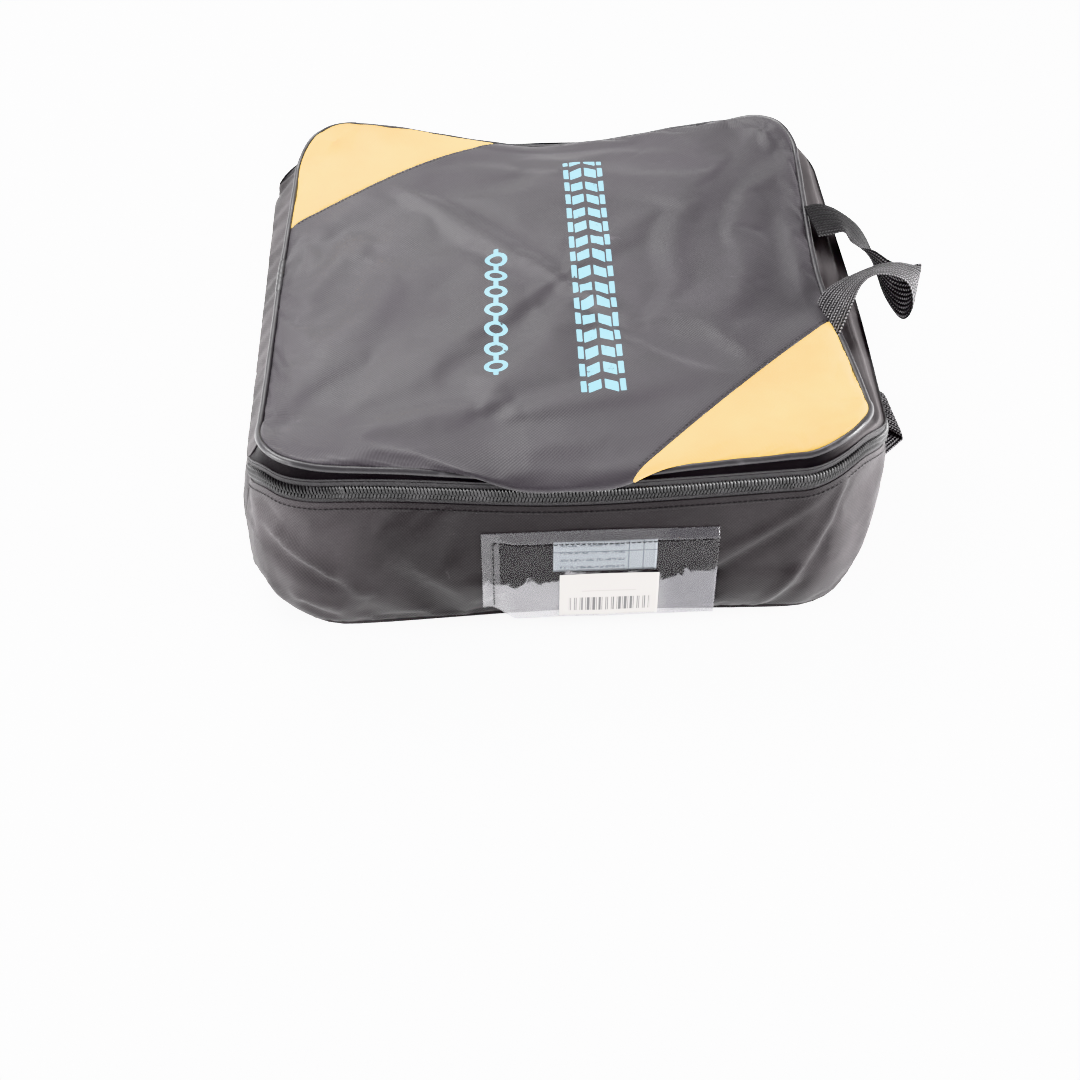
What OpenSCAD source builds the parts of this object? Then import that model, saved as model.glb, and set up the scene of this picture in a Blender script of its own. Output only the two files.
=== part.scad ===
// Zipped carry bag for a pair of folded tyre snow socks, in millimetres.
// +Z is up, +X is the handle side, -X is the hinge side and -Y is the front.
// The origin is on the floor, under the middle of the base.

/* [Bag] */
// Width from the hinge side to the handle side
bag_w = 400; // [390:2:410]
// Depth from the front to the back
bag_d = 410; // [400:2:420]
// Radius of the upright corners
corner_r = 62; // [56:1:66]
// Thickness of the lined wall fabric
fabric = 2; // [1.6:0.1:2.2]
// Thickness of the base panel
base_t = 2.4; // [2:0.1:2.4]
// Height of the fabric hinge and of the zip beside it
hinge_z = 100; // [98:1:102]

/* [Lid] */
// Height of the lid's middle before the soft rise is added
lid_mid_z = 121; // [118:1:126]
// Rise of the lid just inside its seam
lid_rise = 7; // [4:0.5:9]
// Diameter of the piping round the lid
piping_d = 4.4; // [4:0.2:4.8]
// Diameter of the sleeve over the piping's joint
sleeve_d = 6.4; // [5.6:0.2:7]

/* [Zip] */
// Height of each half of the coil
coil_h = 4.2; // [3.8:0.1:4.4]
// Thickness of the coil
coil_t = 3.2; // [2.8:0.1:3.4]
// Height of each tape beyond the coil
tape_h = 5; // [4:0.5:5.5]
// Thickness of the tape
tape_t = 1.2; // [0.8:0.1:1.4]
// Length of the slider
slider_l = 22; // [18:1:24]
// Length of the pull tab below its pivot
pull_l = 34; // [28:1:36]

/* [Handles] */
// Width of the webbing
webbing_w = 38; // [34:1:38]
// Thickness of the webbing
webbing_t = 2; // [1.6:0.1:2.2]

/* [Label pocket] */
// Width of the clear pocket
pocket_w = 146; // [130:1:146]
// Height of the clear pocket
pocket_h = 74; // [66:1:74]
// Width of the name card
card_w = 64; // [56:1:66]
// Height of the name card
card_h = 25; // [20:1:26]

/* [Hidden] */

// Clearance between neighbouring pieces
gap = 0.2;
// Height of the zip's middle above the floor on the straight back run
zip_back_z = 97;
// Half the height of the zip: coil, clearance and tape
zip_half = gap + coil_h + gap + tape_h;

// Sixteen stations run round the bag: the middle of each side, the end of its straight
// part, the middle of the corner and the start of the next straight part.
// Order: hinge side, front left, front, front right, handle side, back right, back, back left.
// Outward offset of each line from the nominal outline, and its height above the floor.
lid_out = [-12, -10, -4, -10, -10, -13, -15, -17, -23, -17, -14, -10, -13, -12, -22, -18];
lid_z = [122, 128, 138, 134, 124, 131, 139, 130, 122, 130, 138, 128, 112, 134, 141, 128];
zip_out = [0, 0, 0, -8, -8, -8, -11, -3, 4, 1, 0, 0, 0, 0, -2, 0];
zip_z = [hinge_z, hinge_z, 119, 118, 109, 115, 122, 108, 98, 103, 107,
    zip_back_z, zip_back_z, zip_back_z, 102, hinge_z];
base_out = [-10, -10, -10, -12, -18, -14, -14, -14, -10, -14, -14, -12, -10, -12, -14, -10];
wall_bulge = [15, 15, 12, 9, 10, 9, 5, 6, 10, 10, 8, 5, 5, 5, 8, 13];

STATIONS = 16;
// Steps between stations on the straight parts and on the corners
straight_steps = 8;
corner_steps = 4;
quarter_steps = 2 * (straight_steps + corner_steps);
RING = 4 * quarter_steps;

// Sample number of a station value, and the station value of a sample number
function sample_in_quarter(u) =
    u <= 1 ? u * straight_steps
    : u <= 3 ? straight_steps + (u - 1) * corner_steps
    : straight_steps + 2 * corner_steps + (u - 3) * straight_steps;
function sample(t) = floor(t / 4) * quarter_steps + sample_in_quarter(t - 4 * floor(t / 4));
function station_in_quarter(r) =
    r < straight_steps ? r / straight_steps
    : r < straight_steps + 2 * corner_steps ? 1 + (r - straight_steps) / corner_steps
    : 3 + (r - straight_steps - 2 * corner_steps) / straight_steps;
function station(i) = 4 * floor(i / quarter_steps) + station_in_quarter(i % quarter_steps);

// Smooth curve through the station values, with no overshoot between them
function even_slope(a, b) = a * b <= 0 ? 0 : 2 * a * b / (a + b);
function hermite(b, c, m0, m1, f) =
    b + f * (m0 + f * (3 * (c - b) - 2 * m0 - m1 + f * (m0 + m1 - 2 * (c - b))));
function along(v, t) =
    let (n = len(v), i = floor(t), f = t - i,
        a = v[(i + n - 1) % n], b = v[i % n], c = v[(i + 1) % n], d = v[(i + 2) % n])
    hermite(b, c, even_slope(b - a, c - b), even_slope(c - b, d - c), f);

// Point and outward normal of the nominal outline at a station value
SIDES = [[-1, 0], [0, -1], [1, 0], [0, 1]];
function outline(t) =
    let (q = floor(t / 4) % 4, u = t - 4 * floor(t / 4),
        n1 = SIDES[q], n2 = SIDES[(q + 1) % 4],
        h1 = (q % 2 == 0 ? bag_w : bag_d) / 2, h2 = (q % 2 == 0 ? bag_d : bag_w) / 2,
        angle = 45 * (u - 1), n = n1 * cos(angle) + n2 * sin(angle))
    u <= 1 ? [n1 * h1 + n2 * u * (h2 - corner_r), n1]
    : u < 3 ? [n1 * (h1 - corner_r) + n2 * (h2 - corner_r) + n * corner_r, n]
    : [n2 * h2 + n1 * (4 - u) * (h1 - corner_r), n2];

// Point at sample i, at an outward offset and a height
function place(i, p) =
    let (o = outline(station(i)), xy = o[0] + o[1] * p[0]) [xy[0], xy[1], p[1]];

// Solid swept from one sample to another. section(i) lists [offset, height] points
// anticlockwise, seen with the outward direction on the right.
module ring(first, last, section) {
    m = len(section(first));
    closed = last - first == RING;
    rows = last - first + (closed ? 0 : 1);
    points = [for (k = [0:rows - 1]) for (p = section(first + k)) place(first + k, p)];
    skin = [for (k = [0:(closed ? rows - 1 : rows - 2)]) for (j = [0:m - 1])
        let (k2 = (k + 1) % rows, j2 = (j + 1) % m,
            a = k * m + j, b = k2 * m + j, c = k2 * m + j2, d = k * m + j2)
        each [[a, d, c], [a, c, b]]];
    caps = closed ? [] : [[for (j = [0:m - 1]) m - 1 - j],
        [for (j = [0:m - 1]) (rows - 1) * m + j]];
    polyhedron(points, concat(skin, caps), convexity = 8);
}

// Stations where the zipped wall meets the hinge side's own panel
hinge_first = sample(14.75);
hinge_last = sample(17.25);
zip_first = hinge_last - RING;
zip_last = hinge_first;
// The coil stops short of the hinge, so that the lid can turn right over
coil_first = sample(17.5) - RING;
coil_last = sample(14.5);

// Wall profile: offset of the outside at a share of the wall's height
LEVELS = [0, 0.06, 0.18, 0.38, 0.6, 0.8, 1];
function wall_offset(t, s) =
    along(base_out, t) * (1 - s) + along(zip_out, t) * s
    + along(wall_bulge, t) * sin(180 * pow(s, 0.7));
function wall_section(i, top) =
    let (t = station(i), foot = base_t + gap,
        side = [for (s = LEVELS) [wall_offset(t, s), foot + s * (top - foot)]])
    concat(side, [for (j = [len(side) - 1:-1:0]) side[j] - [fabric, 0]]);

function box_section(o1, o2, z1, z2) = [[o2, z1], [o2, z2], [o1, z2], [o1, z1]];

// ---- the bag ----

module base_panel() {
    color("#2b292a") linear_extrude(base_t)
        polygon([for (i = [0:RING - 1]) let (p = place(i, [along(base_out, station(i)), 0]))
            [p[0], p[1]]]);
}

module base_binding() {
    binding_t = 1.8;
    binding_h = 5;
    color("#1c1b1c") ring(0, RING, function(i)
        let (o = along(base_out, station(i)) - fabric - gap, z = base_t + gap)
        box_section(o - binding_t, o, z, z + binding_h));
}

module side_wall() {
    color("#464344") ring(zip_first, zip_last, function(i)
        wall_section(i, along(zip_z, station(i)) - zip_half - gap));
}

module hinge_wall() {
    color("#4a4748") ring(hinge_first, hinge_last, function(i)
        wall_section(i, along(zip_z, station(i)) - gap));
}

// Bound seam up the inside of the wall, where two wall panels meet at station t
module corner_seam(t) {
    seam_w = 8;
    seam_t = 1.6;
    clearance = 2.2;
    foot = base_t + gap;
    panel_tops = [hinge_z - gap, hinge_z - zip_half - gap];
    function inner_face(z) =
        min([for (top = panel_tops) wall_offset(t, (z - foot) / (top - foot))]) - fabric - clearance;
    side = [for (z = [15:15:75]) [inner_face(z), z]];
    origin = outline(t)[0];
    normal = outline(t)[1];
    color("#1c1b1c") translate([origin[0], origin[1], 0])
        rotate([90, 0, atan2(normal[1], normal[0])]) linear_extrude(seam_w, center = true)
        polygon(concat(side, [for (j = [len(side) - 1:-1:0]) side[j] - [seam_t, 0]]));
}
module corner_seam_front() corner_seam(1.25);
module corner_seam_rear() corner_seam(14.75);

// ---- the zip ----

// up is 1 for the lid's half and -1 for the bag's half
function tape_section(i, up) =
    let (t = station(i), o = along(zip_out, t), z = along(zip_z, t),
        near = z + up * (2 * gap + coil_h), far = z + up * zip_half)
    box_section(o - tape_t, o, min(near, far), max(near, far));
function coil_section(i, up) =
    let (t = station(i), o = along(zip_out, t) + coil_t * 0.56, z = along(zip_z, t),
        near = z + up * gap, far = z + up * (gap + coil_h))
    box_section(o - coil_t, o, min(near, far), max(near, far));

module lower_zip_tape() {
    color("#222122") ring(zip_first, zip_last, function(i) tape_section(i, -1));
}
module upper_zip_tape() {
    color("#222122") ring(zip_first, zip_last, function(i) tape_section(i, 1));
}
module lower_zip_coil() {
    color("#373536") ring(coil_first, coil_last, function(i) coil_section(i, -1));
}
module upper_zip_coil() {
    color("#373536") ring(coil_first, coil_last, function(i) coil_section(i, 1));
}

// The slider waits at the hinge end of the straight back run
slider_x = -125;
slider_y = bag_d / 2;
slider_h = 2 * coil_h + 4.6;
plate_t = 1.5;
plate_gap = 0.3;
bail_r = 1.1;
bail_half = 4;
bail_out = 4.2;
// Outer face of the slider's front plate
face_y = slider_y + coil_t * 0.56 + plate_gap + plate_t;
pull_t = 1.2;
pull_y = face_y + plate_gap + pull_t / 2 + 0.3;

module slider_plate(h) {
    linear_extrude(plate_t) union() {
        square([slider_l - h / 2, h], center = true);
        for (x = [-1, 1]) translate([x * (slider_l / 2 - h / 4), 0]) circle(h / 4, $fn = 32);
        square([slider_l, h / 3], center = true);
    }
}

module slider_face() {
    flange_t = 1.2;
    flange_in = 1.4;
    color("#59585a") translate([slider_x, 0, zip_back_z]) {
        translate([0, face_y, 0]) rotate([90, 0, 0]) slider_plate(slider_h);
        translate([-slider_l / 2 + 3, face_y - plate_t - flange_in, -slider_h / 2])
            cube([slider_l - 6, flange_in + plate_t / 2, flange_t]);
        for (x = [-1, 1]) translate([x * bail_half, face_y - plate_t / 2, 0])
            rotate([-90, 0, 0]) cylinder(h = bail_out + plate_t / 2, r = bail_r, $fn = 32);
        translate([0, face_y + bail_out - bail_r / 2, 0]) rotate([0, 90, 0])
            cylinder(h = 2 * bail_half + 2 * bail_r, r = bail_r, center = true, $fn = 32);
    }
}

module slider_back() {
    color("#59585a")
        translate([slider_x, slider_y - coil_t * 0.44 - plate_gap, zip_back_z])
        rotate([90, 0, 0]) slider_plate(slider_h);
}

module pull_tab() {
    eye_r = 3.6;
    neck_w = 4.4;
    end_w = 9;
    end_r = 2.5;
    grip_l = 20;
    bore_r = bail_r + 0.3;
    color("#6a696b") translate([slider_x - bail_half, pull_y + pull_t / 2, zip_back_z])
        rotate([90, 0, 0]) linear_extrude(pull_t) difference() {
            union() {
                circle(eye_r, $fn = 40);
                translate([-neck_w / 2, -pull_l + grip_l - 1]) square([neck_w, pull_l - grip_l + 1]);
                translate([-end_w / 2 + end_r, -pull_l]) square([end_w - 2 * end_r, grip_l]);
                translate([-end_w / 2, -pull_l + end_r]) square([end_w, grip_l - 2 * end_r]);
                for (x = [-1, 1]) for (y = [end_r, grip_l - end_r])
                    translate([x * (end_w / 2 - end_r), -pull_l + y]) circle(end_r, $fn = 32);
            }
            circle(bore_r, $fn = 40);
        }
}

// ---- the lid ----

// The piping's two ends meet inside a sleeve on the hinge side
sleeve_first = sample(15.75);
// Distance from the piping's middle to the lid's edge, wider beside the sleeve
function lid_edge(i) = (i % RING == 0 || i % RING >= sleeve_first ? sleeve_d : piping_d) / 2 + gap;

// Rings of the lid from its middle to its seam, as shares of the way out
SHARES = [0.35, 0.62, 0.8, 0.91, 0.97, 1];
lid_corner_power = 12;

// Top of the lid on the way from its middle to sample i
function lid_point(i, s) =
    let (t = station(i), edge = place(i, [along(lid_out, t) - lid_edge(i), 0]))
    [edge[0] * s, edge[1] * s,
        lid_mid_z * (1 - s * s) + (along(lid_z, t) + fabric / 2) * s * s
        + lid_rise * (1 - pow(s, lid_corner_power))];

function flat(p) = [p[0], p[1]];
function cross2(a, b) = a[0] * b[1] - a[1] * b[0];
// Share of the way out at which the ray to sample i crosses the line from p to q
function crossing(i, p, q) = cross2(p, q - p) / cross2(flat(lid_point(i, 1)), q - p);

// Sewn-on corner patches, as ranges of samples; the seam between patch and panel is straight
patch_front = [sample(4.25), sample(7.625)];
patch_rear = [sample(12.25), sample(15.5)];
function inner_share(i, patch) =
    crossing(i, flat(lid_point(patch[0], 1)), flat(lid_point(patch[1], 1)));
function panel_share(i) =
    i > patch_front[0] && i < patch_front[1] ? inner_share(i, patch_front)
    : i > patch_rear[0] && i < patch_rear[1] ? inner_share(i, patch_rear) : 1;

module lid_panel() {
    rows = len(SHARES);
    layer = 1 + RING * rows;
    top = concat([lid_point(0, 0)],
        [for (s = SHARES) for (i = [0:RING - 1]) lid_point(i, s * panel_share(i))]);
    bottom = [for (p = top) p - [0, 0, fabric]];
    function at(k, i) = 1 + k * RING + i % RING;
    hub = [for (i = [0:RING - 1]) [0, at(0, i + 1), at(0, i)]];
    skin = [for (k = [0:rows - 2]) for (i = [0:RING - 1])
        each [[at(k, i), at(k, i + 1), at(k + 1, i + 1)], [at(k, i), at(k + 1, i + 1), at(k + 1, i)]]];
    upper = concat(hub, skin);
    lower = [for (f = upper) [f[2] + layer, f[1] + layer, f[0] + layer]];
    rim = [for (i = [0:RING - 1])
        let (a = at(rows - 1, i), b = at(rows - 1, i + 1))
        each [[a, b, b + layer], [a, b + layer, a + layer]]];
    color("#7d777e") polyhedron(concat(top, bottom), concat(upper, lower, rim), convexity = 10);
}

// Patch between the straight seam and the lid's edge, with a pointed tip at each end
module corner_patch(patch) {
    steps = 4;
    inset = 0.003;
    first = patch[0] + 1;
    last = patch[1] - 1;
    rows = last - first + 1;
    cols = steps + 1;
    layer = rows * cols + 2;
    head = rows * cols;
    tail = head + 1;
    function share(i, j) = let (s = inner_share(i, patch) + inset) s + (1 - s) * j / steps;
    top = concat([for (i = [first:last]) for (j = [0:steps]) lid_point(i, share(i, j))],
        [for (i = patch) lid_point(i, 1)]);
    bottom = [for (p = top) p - [0, 0, fabric]];
    grid = [for (k = [0:rows - 2]) for (j = [0:steps - 1]) let (a = k * cols + j)
        each [[a, a + cols, a + cols + 1], [a, a + cols + 1, a + 1]]];
    end = (rows - 1) * cols;
    tips = [for (j = [0:steps - 1]) each [[head, j, j + 1], [tail, end + j + 1, end + j]]];
    upper = concat(grid, tips);
    lower = [for (f = upper) [f[2] + layer, f[1] + layer, f[0] + layer]];
    loop = concat([head], [for (k = [0:rows - 1]) k * cols + steps], [tail],
        [for (k = [rows - 1:-1:0]) k * cols]);
    rim = [for (n = [0:len(loop) - 1])
        let (a = loop[n], b = loop[(n + 1) % len(loop)])
        each [[a, b, b + layer], [a, b + layer, a + layer]]];
    color("#ffd68c") polyhedron(concat(top, bottom), concat(upper, lower, rim), convexity = 6);
}
module corner_patch_front() corner_patch(patch_front);
module corner_patch_rear() corner_patch(patch_rear);

function round_section(i, r) =
    let (t = station(i), o = along(lid_out, t), z = along(lid_z, t))
    [for (a = [30:60:330]) [o + r * cos(a), z + r * sin(a)]];

module lid_piping() {
    color("#4d4b4d") ring(0, sleeve_first, function(i) round_section(i, piping_d / 2));
}
module piping_sleeve() {
    color("#3a3839") ring(sleeve_first, RING, function(i) round_section(i, sleeve_d / 2));
}

function band_section(i, z1) =
    let (t = station(i), o1 = along(zip_out, t), o2 = along(lid_out, t),
        z2 = along(lid_z, t) - sleeve_d / 2 - gap)
    [[o1, z1], [o2, z2], [o2 - fabric, z2], [o1 - fabric, z1]];

module lid_band() {
    color("#332f30") ring(zip_first, zip_last, function(i)
        band_section(i, along(zip_z, station(i)) + zip_half + gap));
}

module hinge_flap() {
    color("#3b3839") ring(hinge_first, hinge_last, function(i)
        band_section(i, along(zip_z, station(i)) + gap));
}

module lid_binding() {
    binding_t = 1.8;
    binding_h = 5;
    color("#1c1b1c") ring(0, RING, function(i)
        let (t = station(i), o = along(lid_out, t) - fabric - 2 * gap,
            z = along(lid_z, t) - sleeve_d / 2 - gap)
        box_section(o - binding_t, o, z - binding_h, z));
}

// ---- the handles ----

// Webbing swept along a route of [centre, half-width direction] steps
module webbing(route) {
    n = len(route);
    function centre(k) = route[k][0];
    function forward(k) = centre(min(k + 1, n - 1)) - centre(max(k - 1, 0));
    function across(k) = route[k][1];
    function normal(k) = let (v = cross(forward(k), across(k))) v / norm(v);
    points = [for (k = [0:n - 1])
        let (c = centre(k), w = across(k), h = normal(k) * webbing_t / 2)
        each [c - w - h, c + w - h, c + w + h, c - w + h]];
    skin = [for (k = [0:n - 2]) for (j = [0:3])
        let (a = 4 * k + j, b = 4 * k + (j + 1) % 4)
        each [[a, b, b + 4], [a, b + 4, a + 4]]];
    caps = [[3, 2, 1, 0], [4 * n - 4, 4 * n - 3, 4 * n - 2, 4 * n - 1]];
    polyhedron(points, concat(skin, caps), convexity = 6);
}

// Half the webbing's width along a direction
function wide(v) = v / norm(v) * webbing_w / 2;

// From the front end over the bands, down and under at the far bend, back to the rear end
LID_ROUTE = [
    [[181, -43, 129], wide([-4, 19, -1])],
    [[188, -33, 132], wide([-3, 19, -3])],
    [[198, -21, 135], wide([1, 18, -6])],
    [[212, -11, 135], wide([4, 17, -6])],
    [[228, -7, 132], wide([5, 17, -5])],
    [[240, -6, 126], wide([6, 17, -3])],
    [[245, -4, 116], wide([5, 15, 5])],
    [[242, 1, 107], wide([3, 9, 14])],
    [[234, 11, 104], wide([-2, 3, 18])],
    [[226, 26, 107], wide([-5, -2, 18])],
    [[220, 41, 113], wide([-7, -8, 15])],
    [[212, 53, 122], wide([-6, -15, 9])],
    [[202, 58, 128], wide([-1, -18, 3])],
    [[191, 58, 130], wide([1, -18, 0])],
    [[181, 57, 129], wide([2, -18, 0])]];

module lid_handle() {
    color("#5f5d5f") webbing(LID_ROUTE);
}

// Lies on the floor, folded flat at its far end
base_z = webbing_t / 2 + gap;
fold_w = 1.3;
BASE_ROUTE = [
    [[193, -57, base_z], wide([0, 19, 0])],
    [[202, -50, base_z], wide([0, 19, 0]) * 1.1],
    [[216, -36, base_z], wide([-1, 24, 0]) * fold_w],
    [[240, -12, base_z], wide([-2, 26, 0]) * fold_w],
    [[244, -8, base_z + 1.8], wide([-2, 26, 0]) * fold_w],
    [[240, -4, base_z + 3.6], wide([-2, 26, 0]) * fold_w],
    [[216, 20, base_z + 3.6], wide([-1, 24, 0]) * fold_w],
    [[203, 34, base_z + 2], wide([0, 19, 0]) * 1.1],
    [[193, 43, base_z], wide([0, 19, 0])]];

module base_handle() {
    color("#555355") webbing(BASE_ROUTE);
}

// ---- the label pocket ----

pocket_x = -58;
pocket_z = 12;
film_t = 1;
film_y = -bag_d / 2 + 1;
hem = 4;
hem_in = 8;

module label_pocket() {
    color([0.75, 0.74, 0.76, 0.5]) {
        translate([pocket_x, film_y - film_t, pocket_z]) cube([pocket_w, film_t, pocket_h]);
        translate([pocket_x, film_y - film_t / 2, pocket_z]) cube([hem, hem_in, pocket_h]);
        translate([pocket_x, film_y - film_t / 2, pocket_z]) cube([pocket_w, hem_in, hem]);
        translate([pocket_x, film_y - film_t / 2, pocket_z + pocket_h - hem])
            cube([pocket_w, hem_in, hem]);
    }
}

card_t = 0.5;
module name_card() {
    card_x = -14;
    card_z = 52;
    color("#d5dade") translate([card_x, film_y + gap, card_z]) cube([card_w, card_t, card_h]);
}

module bar_label() {
    label_x = -10;
    label_z = 14;
    label_w = 62;
    label_h = 36;
    label_t = 0.4;
    color("#d8d2cc") translate([label_x, film_y - film_t - label_t, label_z])
        cube([label_w, label_t, label_h]);
}

// ---- what the bag holds ----

module folded_sock(w, d, h, r) {
    linear_extrude(h) {
        square([w - 2 * r, d], center = true);
        square([w, d - 2 * r], center = true);
        for (x = [-1, 1]) for (y = [-1, 1])
            translate([x * (w / 2 - r), y * (d / 2 - r)]) circle(r, $fn = 48);
    }
}

sock_h = 51;
module snow_sock_lower() {
    color("#b9bcc0") translate([0, 0, base_t + gap]) folded_sock(330, 340, sock_h, 48);
}
module snow_sock_upper() {
    color("#c3c6c9") translate([0, 0, base_t + 2 * gap + sock_h]) folded_sock(310, 324, sock_h - 2, 46);
}

base_panel();
base_binding();
side_wall();
hinge_wall();
corner_seam_front();
corner_seam_rear();
lower_zip_tape();
lower_zip_coil();
label_pocket();
bar_label();
snow_sock_lower();
snow_sock_upper();
lid_panel();
corner_patch_front();
corner_patch_rear();
lid_piping();
piping_sleeve();
lid_band();
hinge_flap();
lid_binding();
upper_zip_tape();
upper_zip_coil();
slider_face();
slider_back();
pull_tab();
lid_handle();
base_handle();
name_card();
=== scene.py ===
"""The looks of a zipped carry bag for tyre snow socks: cloth lid and walls, piping, coil zip,
webbing handles, film pocket and the folded covers inside. Shapes are worked out in millimetres
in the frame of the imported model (+Z up, -Y the front, -X the hinge side) and made in metres."""
import math
from functools import partialmethod

import bmesh
import bpy
import numpy as np
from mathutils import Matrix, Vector
from mathutils.bvhtree import BVHTree


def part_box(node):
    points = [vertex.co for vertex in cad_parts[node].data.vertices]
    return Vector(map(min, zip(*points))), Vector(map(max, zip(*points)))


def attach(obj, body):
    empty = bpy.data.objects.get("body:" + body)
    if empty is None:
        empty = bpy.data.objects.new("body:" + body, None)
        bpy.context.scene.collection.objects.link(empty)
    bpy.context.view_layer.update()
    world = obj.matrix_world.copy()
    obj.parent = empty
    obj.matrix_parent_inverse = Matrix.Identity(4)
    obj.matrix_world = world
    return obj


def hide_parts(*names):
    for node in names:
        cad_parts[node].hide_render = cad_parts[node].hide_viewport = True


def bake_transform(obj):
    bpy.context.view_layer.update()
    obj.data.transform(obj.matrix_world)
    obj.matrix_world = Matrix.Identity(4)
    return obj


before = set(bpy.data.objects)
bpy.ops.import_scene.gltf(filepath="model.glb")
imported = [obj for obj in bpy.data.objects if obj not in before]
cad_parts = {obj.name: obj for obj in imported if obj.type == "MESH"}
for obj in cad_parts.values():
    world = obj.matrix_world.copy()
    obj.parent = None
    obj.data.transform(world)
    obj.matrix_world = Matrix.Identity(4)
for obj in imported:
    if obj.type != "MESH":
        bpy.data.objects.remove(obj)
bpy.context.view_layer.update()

# ---------------- measures
MM = 0.001
BAG_W = 400
BAG_D = 410
CORNER_R = 62
BASE_T = 2.4
GAP = 0.2
LID_MID_Z = 121
LID_RISE = 7
PIPING_D = 4.4
SLEEVE_D = 6.4
COIL_H = 4.2
TAPE_H = 5
TAPE_T = 1.2
WEBBING_W = 38
WEBBING_T = 1.9
ZIP_HALF = GAP + COIL_H + GAP + TAPE_H
FOOT = BASE_T + GAP

# Sixteen stations run round the bag over the front: the middle of each side, the end of its
# straight part, the middle of the corner and the start of the next straight part.
STATIONS = 16

# Offset from the nominal outline, and height: the piping, then the middle of the zip
LID_OUT = [-12, -10, -4, -10, -10, -13, -15, -17, -23, -17, -14, -10, -13, -12, -22, -18]
LID_Z = [122, 128, 138, 134, 124, 131, 139, 130, 122, 130, 138, 128, 112, 134, 141, 128]
ZIP_OUT = [0, 0, 0, -8, -8, -8, -11, -3, 4, 1, 0, 0, 0, 0, -2, 0]
ZIP_Z = [100, 100, 119, 118, 109, 115, 122, 108, 98, 103, 107, 97, 97, 97, 102, 100]

# Offset of the seam with the base, and how far the wall bulges above it
BASE_OUT = [-10, -10, -10, -12, -18, -14, -14, -14, -10, -14, -14, -12, -10, -12, -14, -10]
WALL_BULGE = [15, 15, 12, 9, 10, 9, 5, 6, 10, 10, 8, 5, 5, 5, 4, 6]

# Where the zip and its coil start and end, and where the sleeve over the piping's joint starts
ZIP_FIRST = 1.25
ZIP_LAST = 14.75
COIL_FIRST = 1.5
COIL_LAST = 14.5
SLEEVE_FIRST = 15.75

# Height of the fabric hinge, and a reach above and below it; the hinge panel works out two points from them
# but does not bend the cloth there.
HINGE_Z = 100
FOLD_REACH = 6

# Metres from the middle of the bag at which rays towards its surface start
RAY_START = 0.3

# ---------------- curves


def smooth(low, high, x):
    """0 below low, 1 above high, with an even curve between them."""
    f = np.clip((np.asarray(x, float) - low) / (high - low), 0, 1)
    return f * f * (3 - 2 * f)


def bell(x, middle, width):
    """1 at the middle, falling to 0 within about two widths on both sides."""
    return np.exp(-(((x - middle) / width) ** 2))


def unit(v):
    """The vectors v made one long."""
    return v / np.linalg.norm(v, axis=-1, keepdims=True)


SIDES = np.array([[-1, 0], [0, -1], [1, 0], [0, 1]], float)
HALVES = np.array([BAG_W / 2, BAG_D / 2])


def outline(t):
    """Points and outward normals of the bag's nominal outline at the stations t."""
    t = np.mod(np.atleast_1d(np.asarray(t, float)), STATIONS)
    side = (t // 4).astype(int)
    u = t - 4 * side
    n1, n2 = SIDES[side], SIDES[(side + 1) % 4]
    h1, h2 = HALVES[side % 2][:, None], HALVES[(side + 1) % 2][:, None]
    angle = np.radians(45 * np.clip(u - 1, 0, 2))[:, None]
    normal = n1 * np.cos(angle) + n2 * np.sin(angle)
    ahead, behind = np.minimum(u, 1)[:, None], np.minimum(4 - u, 1)[:, None]
    point = n1 * (h1 - CORNER_R) * behind + n2 * (h2 - CORNER_R) * ahead + normal * CORNER_R
    return point, normal


def even_slope(a, b):
    both = a * b > 0
    return np.where(both, 2 * a * b / np.where(both, a + b, 1), 0)


def along(values, t):
    """Smooth closed curve through one value per station, with no overshoot."""
    v = np.asarray(values, float)
    t = np.mod(np.asarray(t, float), STATIONS)
    i = np.floor(t).astype(int) % STATIONS
    f = t - np.floor(t)
    a, b, c, d = (v[(i + k) % STATIONS] for k in (-1, 0, 1, 2))
    m0, m1 = even_slope(b - a, c - b), even_slope(c - b, d - c)
    return b + f * (m0 + f * (3 * (c - b) - 2 * m0 - m1 + f * (m0 + m1 - 2 * (c - b))))


FINE_T = np.linspace(0, STATIONS, 3201)
FINE_RUN = np.concatenate([[0], np.cumsum(np.linalg.norm(np.diff(outline(FINE_T)[0], axis=0), axis=1))])


def run(t):
    """Distance round the outline from station 0."""
    t = np.asarray(t, float)
    return np.interp(np.mod(t, STATIONS), FINE_T, FINE_RUN) + FINE_RUN[-1] * np.floor(t / STATIONS)


def even_stations(first, last, step):
    """Stations from first to last, about step millimetres apart."""
    ends = run(np.array([first, last]))
    count = int(round((ends[1] - ends[0]) / step)) + 1
    at = np.linspace(ends[0], ends[1], count)
    return np.interp(np.mod(at, FINE_RUN[-1]), FINE_RUN, FINE_T) + STATIONS * np.floor(at / FINE_RUN[-1])


def place(t, out, z):
    """Points at outward offsets and heights; t, out and z are arrays of one shape."""
    t, out, z = np.broadcast_arrays(np.asarray(t, float), out, z)
    point, normal = outline(t.ravel())
    xy = point + normal * out.reshape(-1, 1)
    return np.concatenate([xy, z.reshape(-1, 1)], 1).reshape(t.shape + (3,))


def normals_at(t):
    """Outward normals of the outline at the stations t, with a z of 0."""
    return np.pad(outline(t)[1], ((0, 0), (0, 1)))


# ---------------- meshes


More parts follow.
